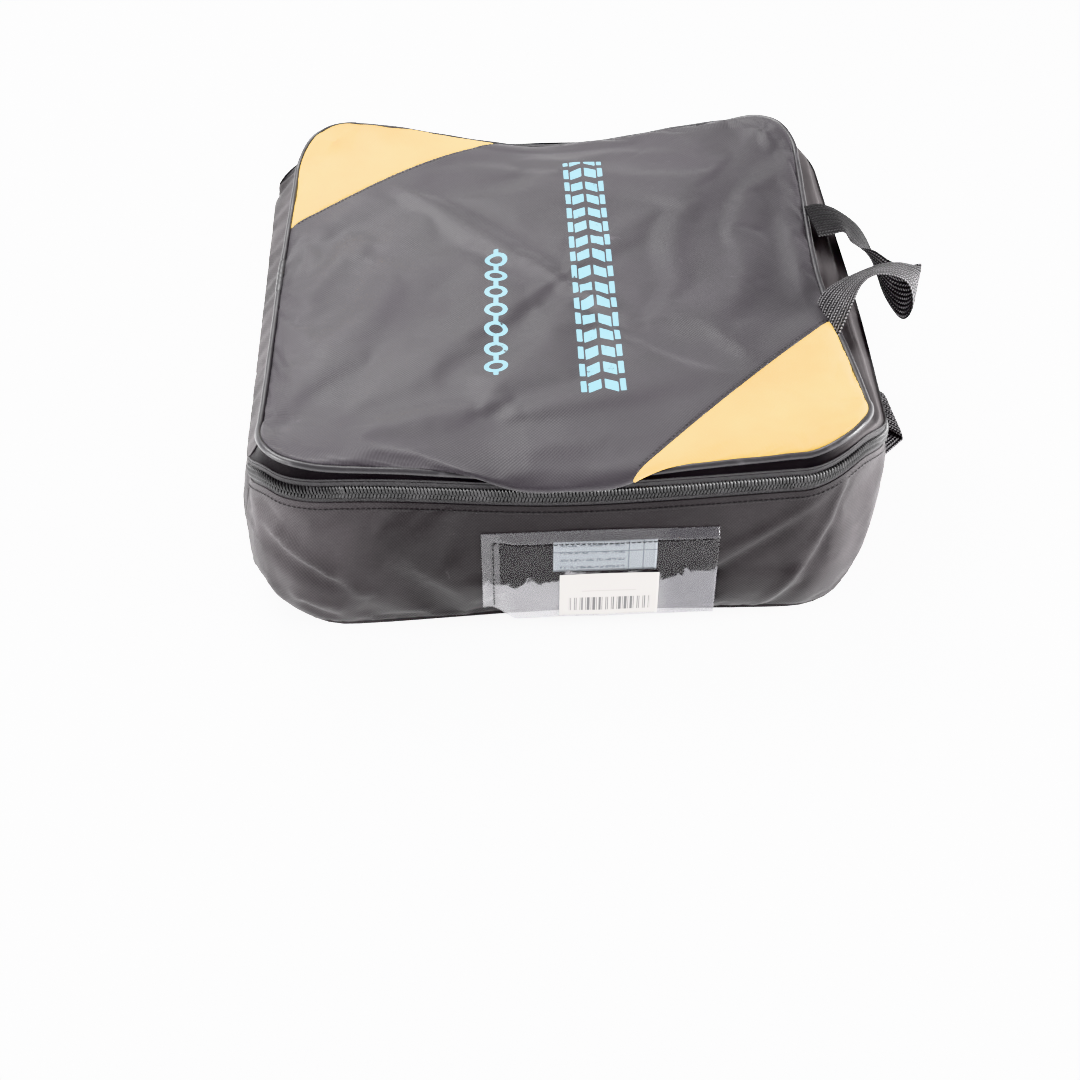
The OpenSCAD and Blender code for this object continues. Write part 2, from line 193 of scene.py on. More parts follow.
def grid(points, wrap=False):
    """Faces of a grid of points, and the UV of each face corner in metres of cloth."""
    p = np.asarray(points, float)
    cols = p.shape[1]
    q = np.concatenate([p, p[:, :1]], 1) if wrap else p
    u = np.concatenate([[0], np.cumsum(np.linalg.norm(np.diff(q, axis=0), axis=2).mean(1))])
    v = np.concatenate([[0], np.cumsum(np.linalg.norm(np.diff(q, axis=1), axis=2).mean(0))])
    i, j = np.meshgrid(np.arange(len(u) - 1), np.arange(len(v) - 1), indexing="ij")
    corners = [(i, j), (i + 1, j), (i + 1, j + 1), (i, j + 1)]
    faces = np.stack([a * cols + b % cols for a, b in corners], -1).reshape(-1, 4)
    uvs = np.stack([np.stack([u[a], v[b]], -1) for a, b in corners], 2).reshape(-1, 2)
    return faces.tolist(), uvs * MM


def caps(rows, cols):
    """The two end faces of a skin whose rings are rows of points."""
    return [list(range(cols))[::-1], [(rows - 1) * cols + k for k in range(cols)]]


def show(name, data):
    """A new object in the scene."""
    obj = bpy.data.objects.new(name, data)
    bpy.context.scene.collection.objects.link(obj)
    return obj


def make(name, points, faces, uvs, material, sharp=50):
    """A smooth-shaded mesh object from millimetre points, sharp only at steep edges."""
    mesh = bpy.data.meshes.new(name)
    mesh.from_pydata((np.asarray(points, float).reshape(-1, 3) * MM).tolist(), [], faces)
    if uvs is not None:
        flat = np.zeros((len(mesh.loops), 2))
        flat[: len(uvs)] = uvs
        mesh.uv_layers.new(name="cloth").data.foreach_set("uv", flat.ravel())
    mesh.materials.append(material)
    mesh.shade_smooth()
    mesh.set_sharp_from_angle(angle=math.radians(sharp))
    return show(name, mesh)


def sheet(name, points, material, sharp=80):
    """An open sheet through a grid of points."""
    return make(name, points, *grid(points), material, sharp)


def skin(name, points, material, sharp=50):
    """A closed skin through rings of points, capped at both ends, with its faces outwards."""
    faces, uvs = grid(points, wrap=True)
    obj = make(name, points, faces + caps(*points.shape[:2]), uvs, material, sharp)
    shell = bmesh.new()
    shell.from_mesh(obj.data)
    bmesh.ops.recalc_face_normals(shell, faces=shell.faces)
    shell.to_mesh(obj.data)
    shell.free()
    return obj


def sweep(name, t, section, material):
    """A skin through outlines of (out, z) points, one outline at each station."""
    section = np.asarray(section, float)
    return skin(name, place(t[:, None], section[:, :, 0], section[:, :, 1]), material)


def settle(obj, body, slot, *replaced):
    """The piece rides on its body and stands for its CAD nodes, which it hides. The slot is not used."""
    if body:
        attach(obj, body)
    if replaced:
        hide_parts(*replaced)


def ring_section(out, z, radius, sides=12):
    """Round outlines of the given radius about (out, z), as sweep takes them."""
    angle = np.linspace(0, 2 * math.pi, sides, endpoint=False)
    out, z, radius = (np.asarray(v, float).reshape(-1, 1) for v in (out, z, radius))
    return np.stack([out + radius * np.cos(angle), z + radius * np.sin(angle)], -1)


def strip_section(o1, z1, o2, z2, thickness, steps=3):
    """Flat outlines from (o1, z1) up to (o2, z2) with rounded long edges; thickness goes inwards."""
    o1, z1, o2, z2 = (np.asarray(v, float).reshape(-1, 1) for v in (o1, z1, o2, z2))
    f = np.linspace(0, 1, steps + 1)
    rise = np.array([0.12] + [0] * (steps - 1) + [0.12]) * thickness
    front = np.stack([o1 + (o2 - o1) * f - rise, z1 + (z2 - z1) * f], -1)
    back = np.stack([o1 + (o2 - o1) * f - thickness + rise, z1 + (z2 - z1) * f], -1)
    return np.concatenate([front, back[:, ::-1]], 1)


def tubes(name, lines, up, radii, material, sides=6):
    """Many short closed tubes as one mesh: lines is (tubes, rings, 3), up one vector a tube."""
    count, rings = lines.shape[:2]
    ahead = np.gradient(lines, axis=1)
    side = unit(np.cross(ahead, up[:, None, :]))
    lift = unit(np.cross(side, ahead))
    angle = np.linspace(0, 2 * math.pi, sides, endpoint=False)
    turn = side[:, :, None] * np.cos(angle)[:, None] + lift[:, :, None] * np.sin(angle)[:, None]
    points = lines[:, :, None] + turn * np.asarray(radii)[:, None, None]
    faces = grid(np.zeros((rings, sides, 3)), wrap=True)[0] + caps(rings, sides)
    every = [[v + k * rings * sides for v in f] for k in range(count) for f in faces]
    return make(name, points, every, None, material)


def stitch_row(name, path, normals, material, pitch=3.2, length=2.4, radius=0.28):
    """A row of thread stitches lying along a path on a cloth surface."""
    path = np.asarray(path, float)
    dist = np.concatenate([[0], np.cumsum(np.linalg.norm(np.diff(path, axis=0), axis=1))])
    at = np.arange(pitch, dist[-1] - pitch / 2, pitch)
    spread = np.linspace(-0.5, 0.5, 5) * length
    lines = np.stack([[np.interp(a + spread, dist, path[:, k]) for k in range(3)] for a in at])
    lines = lines.transpose(0, 2, 1)
    up = np.stack([np.interp(at, dist, normals[:, k]) for k in range(3)], 1)
    rise = np.array([-0.6, 0.5, 0.9, 0.5, -0.6]) * radius
    lines = lines + up[:, None] * rise[:, None]
    return tubes(name, lines, up, np.array([0.6, 1, 1, 1, 0.6]) * radius, material)


def thicken(obj, thickness, offset=-1):
    """Gives a sheet its thickness: inwards, or both ways with an offset of 0, or outwards with 1."""
    solid = obj.modifiers.new("thickness", "SOLIDIFY")
    solid.thickness = thickness * MM
    solid.offset = offset
    bpy.context.view_layer.update()
    seen = obj.evaluated_get(bpy.context.evaluated_depsgraph_get())
    mesh = bpy.data.meshes.new_from_object(seen)
    obj.modifiers.clear()
    obj.data = mesh


def points_of(mesh):
    """The mesh's points in millimetres."""
    co = np.empty(len(mesh.vertices) * 3)
    mesh.vertices.foreach_get("co", co)
    return co.reshape(-1, 3) / MM


def simulate(obj, pinned, growth, frames, pressure, bending):
    """The sheet's points in millimetres after a cloth simulation of that many frames."""
    pins = obj.vertex_groups.new(name="pins")
    pins.add([int(k) for k in np.flatnonzero(pinned)], 1.0, "REPLACE")
    cloth = obj.modifiers.new("cloth", "CLOTH")
    values = {"vertex_group_mass": "pins", "quality": 5, "mass": 0.15, "bending_stiffness": bending,
        "shrink_min": -growth, "use_pressure": pressure != 0, "uniform_pressure_force": pressure}
    for key, value in values.items():
        setattr(cloth.settings, key, value)
    cloth.settings.effector_weights.gravity = 0
    cloth.collision_settings.use_collision = False
    cloth.point_cache.frame_start = 1
    cloth.point_cache.frame_end = frames
    for number in range(1, frames + 1):
        bpy.context.scene.frame_set(number)
    seen = obj.evaluated_get(bpy.context.evaluated_depsgraph_get())
    found = points_of(seen.data)
    obj.modifiers.clear()
    obj.vertex_groups.clear()
    return found


def relax(obj, pinned, growth, frames, cap, pressure=0.0, bending=0.4, freedom=1.0):
    """Lets a sheet that is cut a little too large find its folds by cloth simulation. No point moves
    further than cap, and freedom is the share of its move that each point keeps."""
    start = points_of(obj.data)
    move = simulate(obj, pinned, growth, frames, pressure, bending) - start
    size = np.linalg.norm(move, axis=1, keepdims=True)
    move *= cap * np.tanh(size / cap) / np.maximum(size, 1e-9)
    move *= np.reshape(freedom, (-1, 1))
    obj.data.vertices.foreach_set("co", ((start + move) * MM).ravel())
    obj.data.update()
    bpy.context.scene.frame_set(1)


def tree_of(obj):
    """A search tree over the mesh, in metres."""
    mesh = obj.data
    return BVHTree.FromPolygons([v.co for v in mesh.vertices], [tuple(f.vertices) for f in mesh.polygons])


# ---------------- materials


class Value:
    """An output of a material's node; arithmetic on it adds Math nodes to the same material."""

    def __init__(self, mat, socket):
        self.mat = mat
        self.socket = socket

    def calc(self, operation, *others):
        inputs = dict(enumerate((self, *others)))
        return Value(self.mat, add(self.mat, "ShaderNodeMath", inputs, operation=operation).outputs[0])

    __add__ = partialmethod(calc, "ADD")
    __sub__ = partialmethod(calc, "SUBTRACT")
    __mul__ = partialmethod(calc, "MULTIPLY")
    __truediv__ = partialmethod(calc, "DIVIDE")
    __pow__ = partialmethod(calc, "POWER")
    __abs__ = partialmethod(calc, "ABSOLUTE")
    root = partialmethod(calc, "SQRT")
    sine = partialmethod(calc, "SINE")
    most = partialmethod(calc, "MAXIMUM")
    to_and_fro = partialmethod(calc, "PINGPONG")


def blank(name, **values):
    """A material whose uniform values sit on the shader's own sockets."""
    mat = bpy.data.materials.new(name)
    mat.use_nodes = True
    shader = mat.node_tree.nodes["Principled BSDF"]
    for key, value in values.items():
        shader.inputs[key.replace("_", " ")].default_value = value
    return mat


def add(mat, kind, inputs=None, **settings):
    """A node with its settings, and its inputs linked or set; a key is a name or a number."""
    made = mat.node_tree.nodes.new(kind)
    for key, value in settings.items():
        setattr(made, key, value)
    for key, value in (inputs or {}).items():
        if isinstance(value, Value):
            mat.node_tree.links.new(value.socket, made.inputs[key])
        else:
            made.inputs[key].default_value = value
    return made


def ramp(value, low, high, to_low=0.0, to_high=1.0):
    """value taken from low..high to to_low..to_high along an even curve."""
    inputs = dict(enumerate((value, low, high, to_low, to_high)))
    made = add(value.mat, "ShaderNodeMapRange", inputs, interpolation_type="SMOOTHSTEP")
    return Value(value.mat, made.outputs[0])


def between(value, low, high, soft=0.0004):
    """1 where value lies between low and high."""
    return ramp(value, low - soft, low + soft) * ramp(value, high - soft, high + soft, 1.0, 0.0)


def mix(share, a, b):
    """A colour between a and b."""
    a, b = ((*c, 1) if isinstance(c, tuple) else c for c in (a, b))
    made = add(share.mat, "ShaderNodeMix", {0: share, 6: a, 7: b}, data_type="RGBA")
    return Value(share.mat, made.outputs[2])


def scaled(colour, factor):
    return tuple(factor * c for c in colour)


def noise(coords, scale, detail=3.0, rough=0.5, distortion=0.0):
    inputs = {"Vector": coords, "Scale": scale, "Detail": detail, "Roughness": rough,
        "Distortion": distortion}
    return Value(coords.mat, add(coords.mat, "ShaderNodeTexNoise", inputs).outputs["Fac"])


def cloth_coords(mat):
    """Metres along and across the cloth."""
    return Value(mat, add(mat, "ShaderNodeUVMap", uv_map="cloth").outputs[0])


def place_coords(mat, kind="Object"):
    """Metres in the bag's frame."""
    return Value(mat, add(mat, "ShaderNodeTexCoord").outputs[kind])


def split(coords):
    made = add(coords.mat, "ShaderNodeSeparateXYZ", {0: coords})
    return [Value(coords.mat, socket) for socket in made.outputs]


def wave(value, period):
    """A sine of value, in 0..1, that repeats every period metres."""
    return (value * (2 * math.pi / period)).sine() * 0.5 + 0.5


def weave(mat, period):
    """Plain weave: threads that go over and under each other."""
    u, v, _ = split(cloth_coords(mat))
    turn = 2 * math.pi / period
    return (u * turn).sine() * (v * turn).sine() * 0.5 + 0.5


def finish(mat, colour, rough=None, height=None, distance=0.0003, strength=0.6):
    """Links colour, roughness and bump to the material's shader."""
    shader = mat.node_tree.nodes["Principled BSDF"]
    link = mat.node_tree.links.new
    link(colour.socket, shader.inputs["Base Color"])
    if rough:
        link(rough.socket, shader.inputs["Roughness"])
    if height:
        bump = add(mat, "ShaderNodeBump", {"Height": height, "Distance": distance, "Strength": strength})
        link(bump.outputs[0], shader.inputs["Normal"])
    return mat


def coated_fabric(name, colour, dust, sheen, scuffs, contrast=0.5, gloss=0.45, mark=False, painted_end_light=0):
    """Coated polyester: a fine weave, cloudy dust and pale scuffs; with an end light the dust clouds grow
    paler towards both ends in x and darker in the middle, as painted light on the corners and painted shade
    mid-wall.
    """
    mat = blank(name, Sheen_Weight=sheen, Sheen_Roughness=0.45, Specular_IOR_Level=gloss)
    coords = place_coords(mat)
    threads = weave(mat, 0.0021)
    clouds = ramp(noise(coords, 9, 4, 0.6), 0.35, 0.7)
    if painted_end_light:
        # Painted light and shade: the clouds are scaled from 0.3 in the middle up to the end light at both
        # ends, so the corners read lighter and the middle of each wall darker.
        clouds = (clouds + 0.3) * ramp(abs(split(coords)[0]), 0.08, 0.2, 0.3, painted_end_light)
    grain = noise(coords, 420, 2, 0.6)
    wear = ramp(noise(coords, 46, 5, 0.62, 1.2), 0.66, 0.8)
    shade = mix(clouds * 0.6, colour, dust)
    patchy = threads * ramp(noise(coords, 22, 3, 0.6), 0.3, 0.7, 0.4, 1.0)
    shade = mix(patchy * contrast, shade, scaled(colour, 0.45))
    shade = mix(wear * scuffs, shade, scaled(dust, 1.35))
    if mark:
        shade = printed(coords, shade)
    return finish(mat, shade, ramp(clouds, 0, 1, 0.5, 0.66), grain * 0.35 + threads, 0.00022, 0.55)


INK = (0.2, 0.45, 0.54)
INK_PALE = (0.33, 0.55, 0.62)
TREAD_X, TREAD_LEAN, TREAD_ENDS, TREAD_PITCH = 0.0234, 0.0157, (-0.127, 0.149), 0.009
LINKS_X, LINKS_LEAN, LINKS_ENDS, LINK_PITCH = -0.0419, 0.03, (-0.1069, 0.0331), 0.01


def printed(coords, under):
    """Two printed strips on the lid: a tyre tread and, beside it, a row of chain links."""
    x, y, _ = split(coords)
    across = abs(x - y * TREAD_LEAN - TREAD_X)
    step = (y + across * 0.55).to_and_fro(TREAD_PITCH)
    blocks = between(step, 0.004, 0.02) * between(across, 0.0013, 0.0092)
    edge_step = (y + 0.003).to_and_fro(TREAD_PITCH)
    edges = between(edge_step, 0.003, 0.02) * between(across, 0.0107, 0.0139)
    tread = blocks.most(edges) * between(y, *TREAD_ENDS)
    aside = x - y * LINKS_LEAN - LINKS_X
    along_link = (y + 0.097).to_and_fro(LINK_PITCH)
    oval = ((aside / 0.0075) ** 2.0 + (along_link / 0.0068) ** 2.0).root()
    rings = between(oval, 0.62, 1.0, 0.04)
    bars = between(abs(aside), -1, 0.0014) * between(along_link, 0.0058, 0.02)
    links = rings.most(bars) * between(y, *LINKS_ENDS)
    outside = ramp(split(place_coords(coords.mat, "Normal"))[2], 0.0, 0.1)
    worn = ramp(noise(coords, 160, 4, 0.7), 0.3, 0.42)
    tone = mix(noise(coords, 30, 2, 0.5), INK, INK_PALE)
    return mix(tread.most(links) * outside * worn, under, tone)


def ribbed_tape():
    """Woven zip tape with a fine herringbone."""
    mat = blank("zip_tape", Sheen_Weight=0.05, Roughness=0.7, Specular_IOR_Level=0.3)
    u, v, _ = split(cloth_coords(mat))
    rows = wave(u + v.to_and_fro(0.0016), 0.0009)
    return finish(mat, mix(rows, (0.014, 0.013, 0.014), (0.04, 0.038, 0.04)), None, rows, 0.0003, 0.7)


def nylon():
    """The coil's monofilament: dark, smooth and glossy, worn pale in places."""
    mat = blank("coil_nylon", Specular_IOR_Level=0.33)
    wear = ramp(noise(place_coords(mat), 60, 4, 0.6), 0.45, 0.75)
    colour = mix(wear, (0.013, 0.0125, 0.013), (0.042, 0.04, 0.042))
    return finish(mat, colour, ramp(wear, 0, 1, 0.38, 0.52))


def piping_vinyl(name, colour):
    """Smooth vinyl over a cord, scuffed here and there."""
    mat = blank(name, Coat_Weight=0.12, Coat_Roughness=0.3, Specular_IOR_Level=0.35)
    coords = place_coords(mat)
    wear = ramp(noise(coords, 70, 5, 0.65), 0.5, 0.78)
    shade = mix(wear, colour, scaled(colour, 2.4))
    return finish(mat, shade, ramp(wear, 0, 1, 0.42, 0.6), noise(coords, 240, 3, 0.5), 0.0003, 0.35)


def smooth_band():
    """Plain coated cloth between the zip and the piping, painted paler along the handle side as painted
    light where the band lies in shade under the lid's edge.
    """
    mat = blank("band_cloth", Specular_IOR_Level=0.08)
    coords = place_coords(mat)
    clouds = noise(coords, 26, 4, 0.6)
    own_colour = mix(clouds, (0.005, 0.0045, 0.005), (0.014, 0.0125, 0.0135))
    # Painted light: a paler colour for the handle side, where x passes 0.14 m and the band sits in shade.
    painted_lit_colour = mix(clouds, (0.04, 0.037, 0.038), (0.085, 0.078, 0.08))
    colour = mix(ramp(split(coords)[0], 0.14, 0.185), own_colour, painted_lit_colour)
    height = weave(mat, 0.0008) * 0.3 + clouds
    return finish(mat, colour, ramp(clouds, 0.3, 0.7, 0.55, 0.7), height, 0.0005, 0.4)


def belt_webbing():
    """Heavy polypropylene webbing: lengthwise ribs crossed by a slanted weft, pale at the front partly from
    wear and partly as painted light, and darkened towards the rear by painted shade.
    """
    mat = blank("belt_webbing", Specular_IOR_Level=0.14)
    u, v, _ = split(cloth_coords(mat))
    ribs = wave(v, 0.0031)
    weft = wave(u + v.to_and_fro(0.0031) * 0.9, 0.0023)
    dust = noise(place_coords(mat), 90, 3, 0.6)
    faded_and_lit_yarn = mix(ramp(dust, 0.3, 0.75), (0.16, 0.154, 0.16), (0.27, 0.26, 0.27))
    # Painted shade: the yarn turns dark towards the rear, from y of 0.012 m to 0.05 m, where the rear
    # strand lies in shadow.
    behind = ramp(split(place_coords(mat))[1], 0.012, 0.05)
    yarn = mix(behind, faded_and_lit_yarn, (0.024, 0.023, 0.024))
    colour = mix(ramp(ribs * weft, 0.15, 0.7), (0.012, 0.0115, 0.012), yarn)
    return finish(mat, colour, ramp(dust, 0.2, 0.8, 0.55, 0.75), weft * 0.45 + ribs, 0.0008, 0.9)


def binding_tape():
    """Ribbed tape that binds the raw edges inside."""
    mat = blank("binding_tape", Sheen_Weight=0.2, Roughness=0.75)
    x, y, _ = split(place_coords(mat))
    rows = wave(x + y, 0.0016)
    return finish(mat, mix(rows, (0.012, 0.012, 0.012), (0.032, 0.031, 0.032)), None, rows, 0.0004)


def thread(name, colour):
    """Twisted sewing thread."""
    mat = blank(name, Specular_IOR_Level=0.3, Roughness=0.6)
    twist = noise(place_coords(mat), 1500, 2, 0.5)
    return finish(mat, mix(twist, scaled(colour, 0.6), colour), None, twist, 0.0001, 0.4)


def plated_metal():
    """Dark plated zinc with rubbed edges."""
    mat = blank("plated_metal", Metallic=1.0)
    wear = ramp(noise(place_coords(mat), 380, 4, 0.6), 0.45, 0.7)
    colour = mix(wear, (0.16, 0.16, 0.165), (0.3, 0.3, 0.31))
    return finish(mat, colour, ramp(wear, 0, 1, 0.28, 0.42), wear, 0.00003, 0.2)


def clear_film():
    """Soft clear vinyl that clings to the wall in places and looks milky where it lifts."""
    mat = blank("clear_film", IOR=1.5, Coat_Weight=0.3, Coat_Roughness=0.05)
    coords = place_coords(mat)
    x, _, z = split(coords)
    ragged = noise(coords, 42, 4, 0.55, 0.8)
    low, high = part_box("label_pocket")
    clinging = between(z + ragged * 0.036, 0.065, 1, 0.0015)
    hem = between(x, low.x - 0.01, low.x + 0.011).most(between(z, high.z - 0.009, 1))
    lifted = (clinging * -1 + 1).most(hem * 0.45)
    milk = mix(ramp(x, 0.048, 0.062), (0.25, 0.245, 0.257), (0.16, 0.155, 0.17))
    colour = mix(lifted, (0.02, 0.019, 0.021), milk)
    alpha = mat.node_tree.nodes["Principled BSDF"].inputs["Alpha"]
    mat.node_tree.links.new(ramp(lifted, 0, 1, 0.2, 0.5).socket, alpha)
    return finish(mat, colour, ramp(lifted, 0, 1, 0.1, 0.24), noise(coords, 18, 2, 0.4), 0.001, 0.25)


def ruled_card():
    """Glossy card with ruled boxes and rows of grey dashes."""
    mat = blank("ruled_card", Coat_Weight=0.5, Coat_Roughness=0.1)
    coords = place_coords(mat)
    x, _, z = split(coords)
    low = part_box("name_card")[0]
    right, up = x - low.x, z - low.z
    dashes = ramp(noise(coords, 900, 1, 0.3), 0.46, 0.52)
    row = between(up.to_and_fro(0.0031), 0.0021, 0.01, 0.0002)
    words = dashes * row * between(right, 0.004, 0.044)
    rules = between((up - 0.0007).to_and_fro(0.0078), -1, 0.00035, 0.0001)
    posts = between(right, 0.0463, 0.0469, 0.0001).most(between(right, 0.0553, 0.0559, 0.0001))
    ink = words.most(rules.most(posts))
    paper = mix(noise(coords, 40, 2), (0.3, 0.335, 0.37), (0.38, 0.405, 0.435))
    return finish(mat, mix(ink * 0.75, paper, (0.06, 0.08, 0.11)))


def barred_label():
    """Cream paper label with a row of plain bars and two grey rules; it encodes nothing."""
    mat = blank("barred_label", Roughness=0.7)
    coords = place_coords(mat)
    x, _, z = split(coords)
    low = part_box("bar_label")[0]
    right, up = x - low.x, z - low.z
    uneven = (x * 1900.0).sine() * 0.0005 + x
    bars = between(uneven.to_and_fro(0.0009), 0.00045, 0.1, 0.00004)
    bars = bars * between(up, 0.004, 0.0155, 0.0001) * between(right, 0.006, 0.057, 0.0001)
    rules = between(up.to_and_fro(0.003), 0.0026, 0.1, 0.0001)
    rules = rules * between(up, 0.016, 0.026, 0.0002) * between(right, 0.014, 0.048, 0.0001)
    ink = (bars * 0.85).most(rules * 0.35)
    paper = mix(noise(coords, 50, 4, 0.6), (0.33, 0.318, 0.31), (0.4, 0.385, 0.375))
    return finish(mat, mix(ink, paper, (0.05, 0.05, 0.055)), None, noise(coords, 300, 3), 0.0001, 0.3)


def sock_textile():
    """Pale brushed polyester with rows of raised ribs, as traction covers have."""
    mat = blank("sock_textile", Sheen_Weight=0.5, Sheen_Roughness=0.5, Roughness=0.85)
    coords = place_coords(mat)
    ribs = wave(split(cloth_coords(mat))[0], 0.006)
    grime = ramp(noise(coords, 14, 4, 0.6), 0.35, 0.75)
    colour = mix(grime, (0.3, 0.3, 0.29), (0.19, 0.19, 0.186))
    colour = mix(ribs * 0.6, colour, (0.14, 0.14, 0.145))
    return finish(mat, colour, None, noise(coords, 500, 3, 0.7) * 0.5 + ribs, 0.0009, 0.8)


lid_cloth = coated_fabric("lid_cloth", (0.0185, 0.0153, 0.019), (0.038, 0.0325, 0.039), sheen=0.11,
    scuffs=0.7, gloss=0.34, mark=True)
# The walls' cloth takes painted light that pales it towards the corners and painted shade that darkens the
# middle of each wall.
bag_cloth = coated_fabric("bag_cloth", (0.009, 0.0072, 0.008), (0.054, 0.048, 0.051), sheen=0.05,
    scuffs=0.6, gloss=0.2, painted_end_light=1.3)
patch_cloth = coated_fabric("patch_cloth", (0.94, 0.575, 0.1), (0.97, 0.73, 0.24), sheen=0.15,
    scuffs=0.3, contrast=0.06)
tape_cloth = ribbed_tape()
coil_nylon = nylon()
piping_cover = piping_vinyl("piping_cover", (0.022, 0.0205, 0.0225))
sleeve_cover = piping_vinyl("sleeve_cover", (0.022, 0.021, 0.0225))
band_cloth = smooth_band()
webbing_cloth = belt_webbing()
binding_cloth = binding_tape()
black_thread = thread("black_thread", (0.009, 0.0085, 0.009))
dark_metal = plated_metal()
film = clear_film()
card_paper = ruled_card()
label_paper = barred_label()
sock_cloth = sock_textile()

# ---------------- the lid
GRID_CELLS = 150
ROLL_RINGS = 12
ROLL_SHARE = 0.92
EVEN_ROUNDS = 1600
SEAM_CALM = 22
SEAM_SINK = 0.45
SEAM_WIDTH = 1.2
LID_CLOTH_T = 0.7
EDGE_IN = PIPING_D / 2 + GAP


def tuck(t):
    """1 along the middle of the front edge, where the lid bulges over its piping."""
    t = np.mod(t, STATIONS)
    return smooth(3.1, 3.85, t) * (1 - smooth(4.1, 4.65, t))


def piping_line(t):
    """Outward offset and height of the piping's middle."""
    return along(LID_OUT, t) - 2 * tuck(t), along(LID_Z, t) - 4 * tuck(t)


def lid_height(share, edge_z):
    """Height of the lid at a share of the way from its middle to its edge."""
    return LID_MID_Z * (1 - share**2) + edge_z * share**2 + LID_RISE * (1 - share**12)


def roll_points(t, f):
    """The lid's rolled border: f is 0 at its top and 1 at the seam with the piping."""
    cord_out, cord_z = piping_line(t)
    k = tuck(t)
    turn, reach = np.radians(155 - 200 * k), EDGE_IN - 0.6 + 6.4 * k**2
    end_out, end_z = cord_out + reach * np.cos(turn), cord_z + reach * np.sin(turn)
    top_out = along(LID_OUT, t) - EDGE_IN - 15 + 9 * k
    top_z = lid_height(ROLL_SHARE, along(LID_Z, t) + 1) - 1.5 * k
    a_out, a_z = top_out + 8 + 4 * k, top_z + 0.3
    b_out, b_z = end_out - 0.5 - 12 * k * (1 - k) + 9.5 * k**3, end_z + 3 + 1.5 * k
    g = 1 - f
    weights = (g**3, 3 * g**2 * f, 3 * g * f**2, f**3)
    out = sum(w * o for w, o in zip(weights, (top_out, a_out, b_out, end_out)))
    z = sum(w * h for w, h in zip(weights, (top_z, a_z, b_z, end_z)))
    return out, z


# Soft hollows and swells of the lid: x, y, reach along, reach across, turn in degrees, height
LID_WAVES = [
    (140, 60, 60, 20, 80, -3.0), (112, 40, 55, 16, 82, 1.6), (150, -55, 34, 16, 40, -2.6),
    (-150, -25, 36, 14, 70, 1.6), (-100, -150, 30, 13, 15, -1.8), (-150, -120, 26, 16, 50, 1.8),
    (-78, 150, 50, 16, -8, -2.2), (78, 140, 45, 18, -20, 2.0), (40, -150, 60, 14, 4, 1.4),
    (-110, 60, 60, 26, 30, -1.4), (-40, -60, 60, 30, 60, 1.2), (90, -90, 40, 18, -40, 1.5)]


def lid_waves(x, y):
    rise = np.zeros_like(x)
    for wx, wy, reach, across, turn, height in LID_WAVES:
        c, s = math.cos(math.radians(turn)), math.sin(math.radians(turn))
        u, v = (x - wx) * c + (y - wy) * s, (y - wy) * c - (x - wx) * s
        rise = rise + height * np.exp(-((u / reach) ** 2) - (v / across) ** 2)
    return rise


def ripple(x, y, scale, seed):
    """Small even bumps, the same on every run."""
    a = np.sin(x / scale + 1.7 * np.sin(y / (1.9 * scale) + seed) + seed)
    b = np.sin(y / (1.3 * scale) + 1.3 * np.sin(x / (1.6 * scale) - seed) + 2 * seed)
    return 0.5 * (a + b)


def even_out(points, fixed, rounds):
    """Moves each free point to the middle of its four neighbours, round after round."""
    for _ in range(rounds):
        middle = (points[:-2, 1:-1] + points[2:, 1:-1] + points[1:-1, :-2] + points[1:-1, 2:]) / 4
        points[1:-1, 1:-1] = np.where(fixed[1:-1, 1:-1, None], points[1:-1, 1:-1], middle)
    return points


def seam_freedom(x, y):
    """How freely the lid may fold: not at all on the straight seams of its corner patches."""
    freedom = np.ones_like(x)
    for start, end in PATCHES.values():
        ahead = unit(end - start)
        away = (x - start[0]) * ahead[1] - (y - start[1]) * ahead[0]
        freedom = freedom * (1 - bell(away, 0, SEAM_CALM))
    return freedom


def grid_rings():
    """Ring and station of each point of a square grid whose rings follow the bag's outline."""
    half = GRID_CELLS // 2
    k = np.arange(-half, half + 1)
    a, b = np.meshgrid(k, k, indexing="ij")
    ring = np.maximum(np.abs(a), np.abs(b))
    side = np.select([(a == -ring) & (b < ring), b == -ring, a == ring, b == ring], range(4))
    part = np.choose(side, [-b, a, b, -a]) / np.maximum(ring, 1)
    quarter_t = np.linspace(-2, 2, 401)
    t = np.zeros(a.shape)
    for s in range(4):
        length = run(4 * s + quarter_t + STATIONS)
        even = 2 * (length - length[0]) / (length[-1] - length[0]) - 1
        t = np.where(side == s, np.interp(part, even, 4 * s + quarter_t), t)
    return ring, np.mod(t, STATIONS)


def lid_surface():
    """A square grid bent into the lid, and a mask of the points on its edge."""
    ring, t = grid_rings()
    half = GRID_CELLS // 2
    inner = half - ROLL_RINGS
    share = np.minimum(ring / inner, 1)
    roll = np.clip((ring - inner) / ROLL_RINGS, 0, 1)
    points = place(t, *roll_points(t, roll))
    points[..., :2] *= share[..., None]
    flat_z = lid_height(ROLL_SHARE * share, along(LID_Z, t) + 1) - 1.5 * tuck(t) * share**6
    points[..., 2] = np.where(ring <= inner, flat_z, points[..., 2])
    points = even_out(points, ring >= inner, EVEN_ROUNDS)
    sink = points[half, half, 2] - LID_MID_Z - LID_RISE
    points[..., 2] -= sink * (1 - share**2) ** 2
    x, y = points[..., 0], points[..., 1]
    free = (1 - smooth(0.5, 1.0, roll)) * seam_freedom(x, y)
    points[..., 2] += free * (lid_waves(x, y) + 0.25 * ripple(x, y, 17, 0.6))
    return points, ring == half


def patch_line(first, last):
    """Ends of the straight seam between the panel and a corner patch, in plan."""
    ends = np.array([first, last])
    out, z = roll_points(ends, np.ones(2))
    return place(ends, out, z)[:, :2]


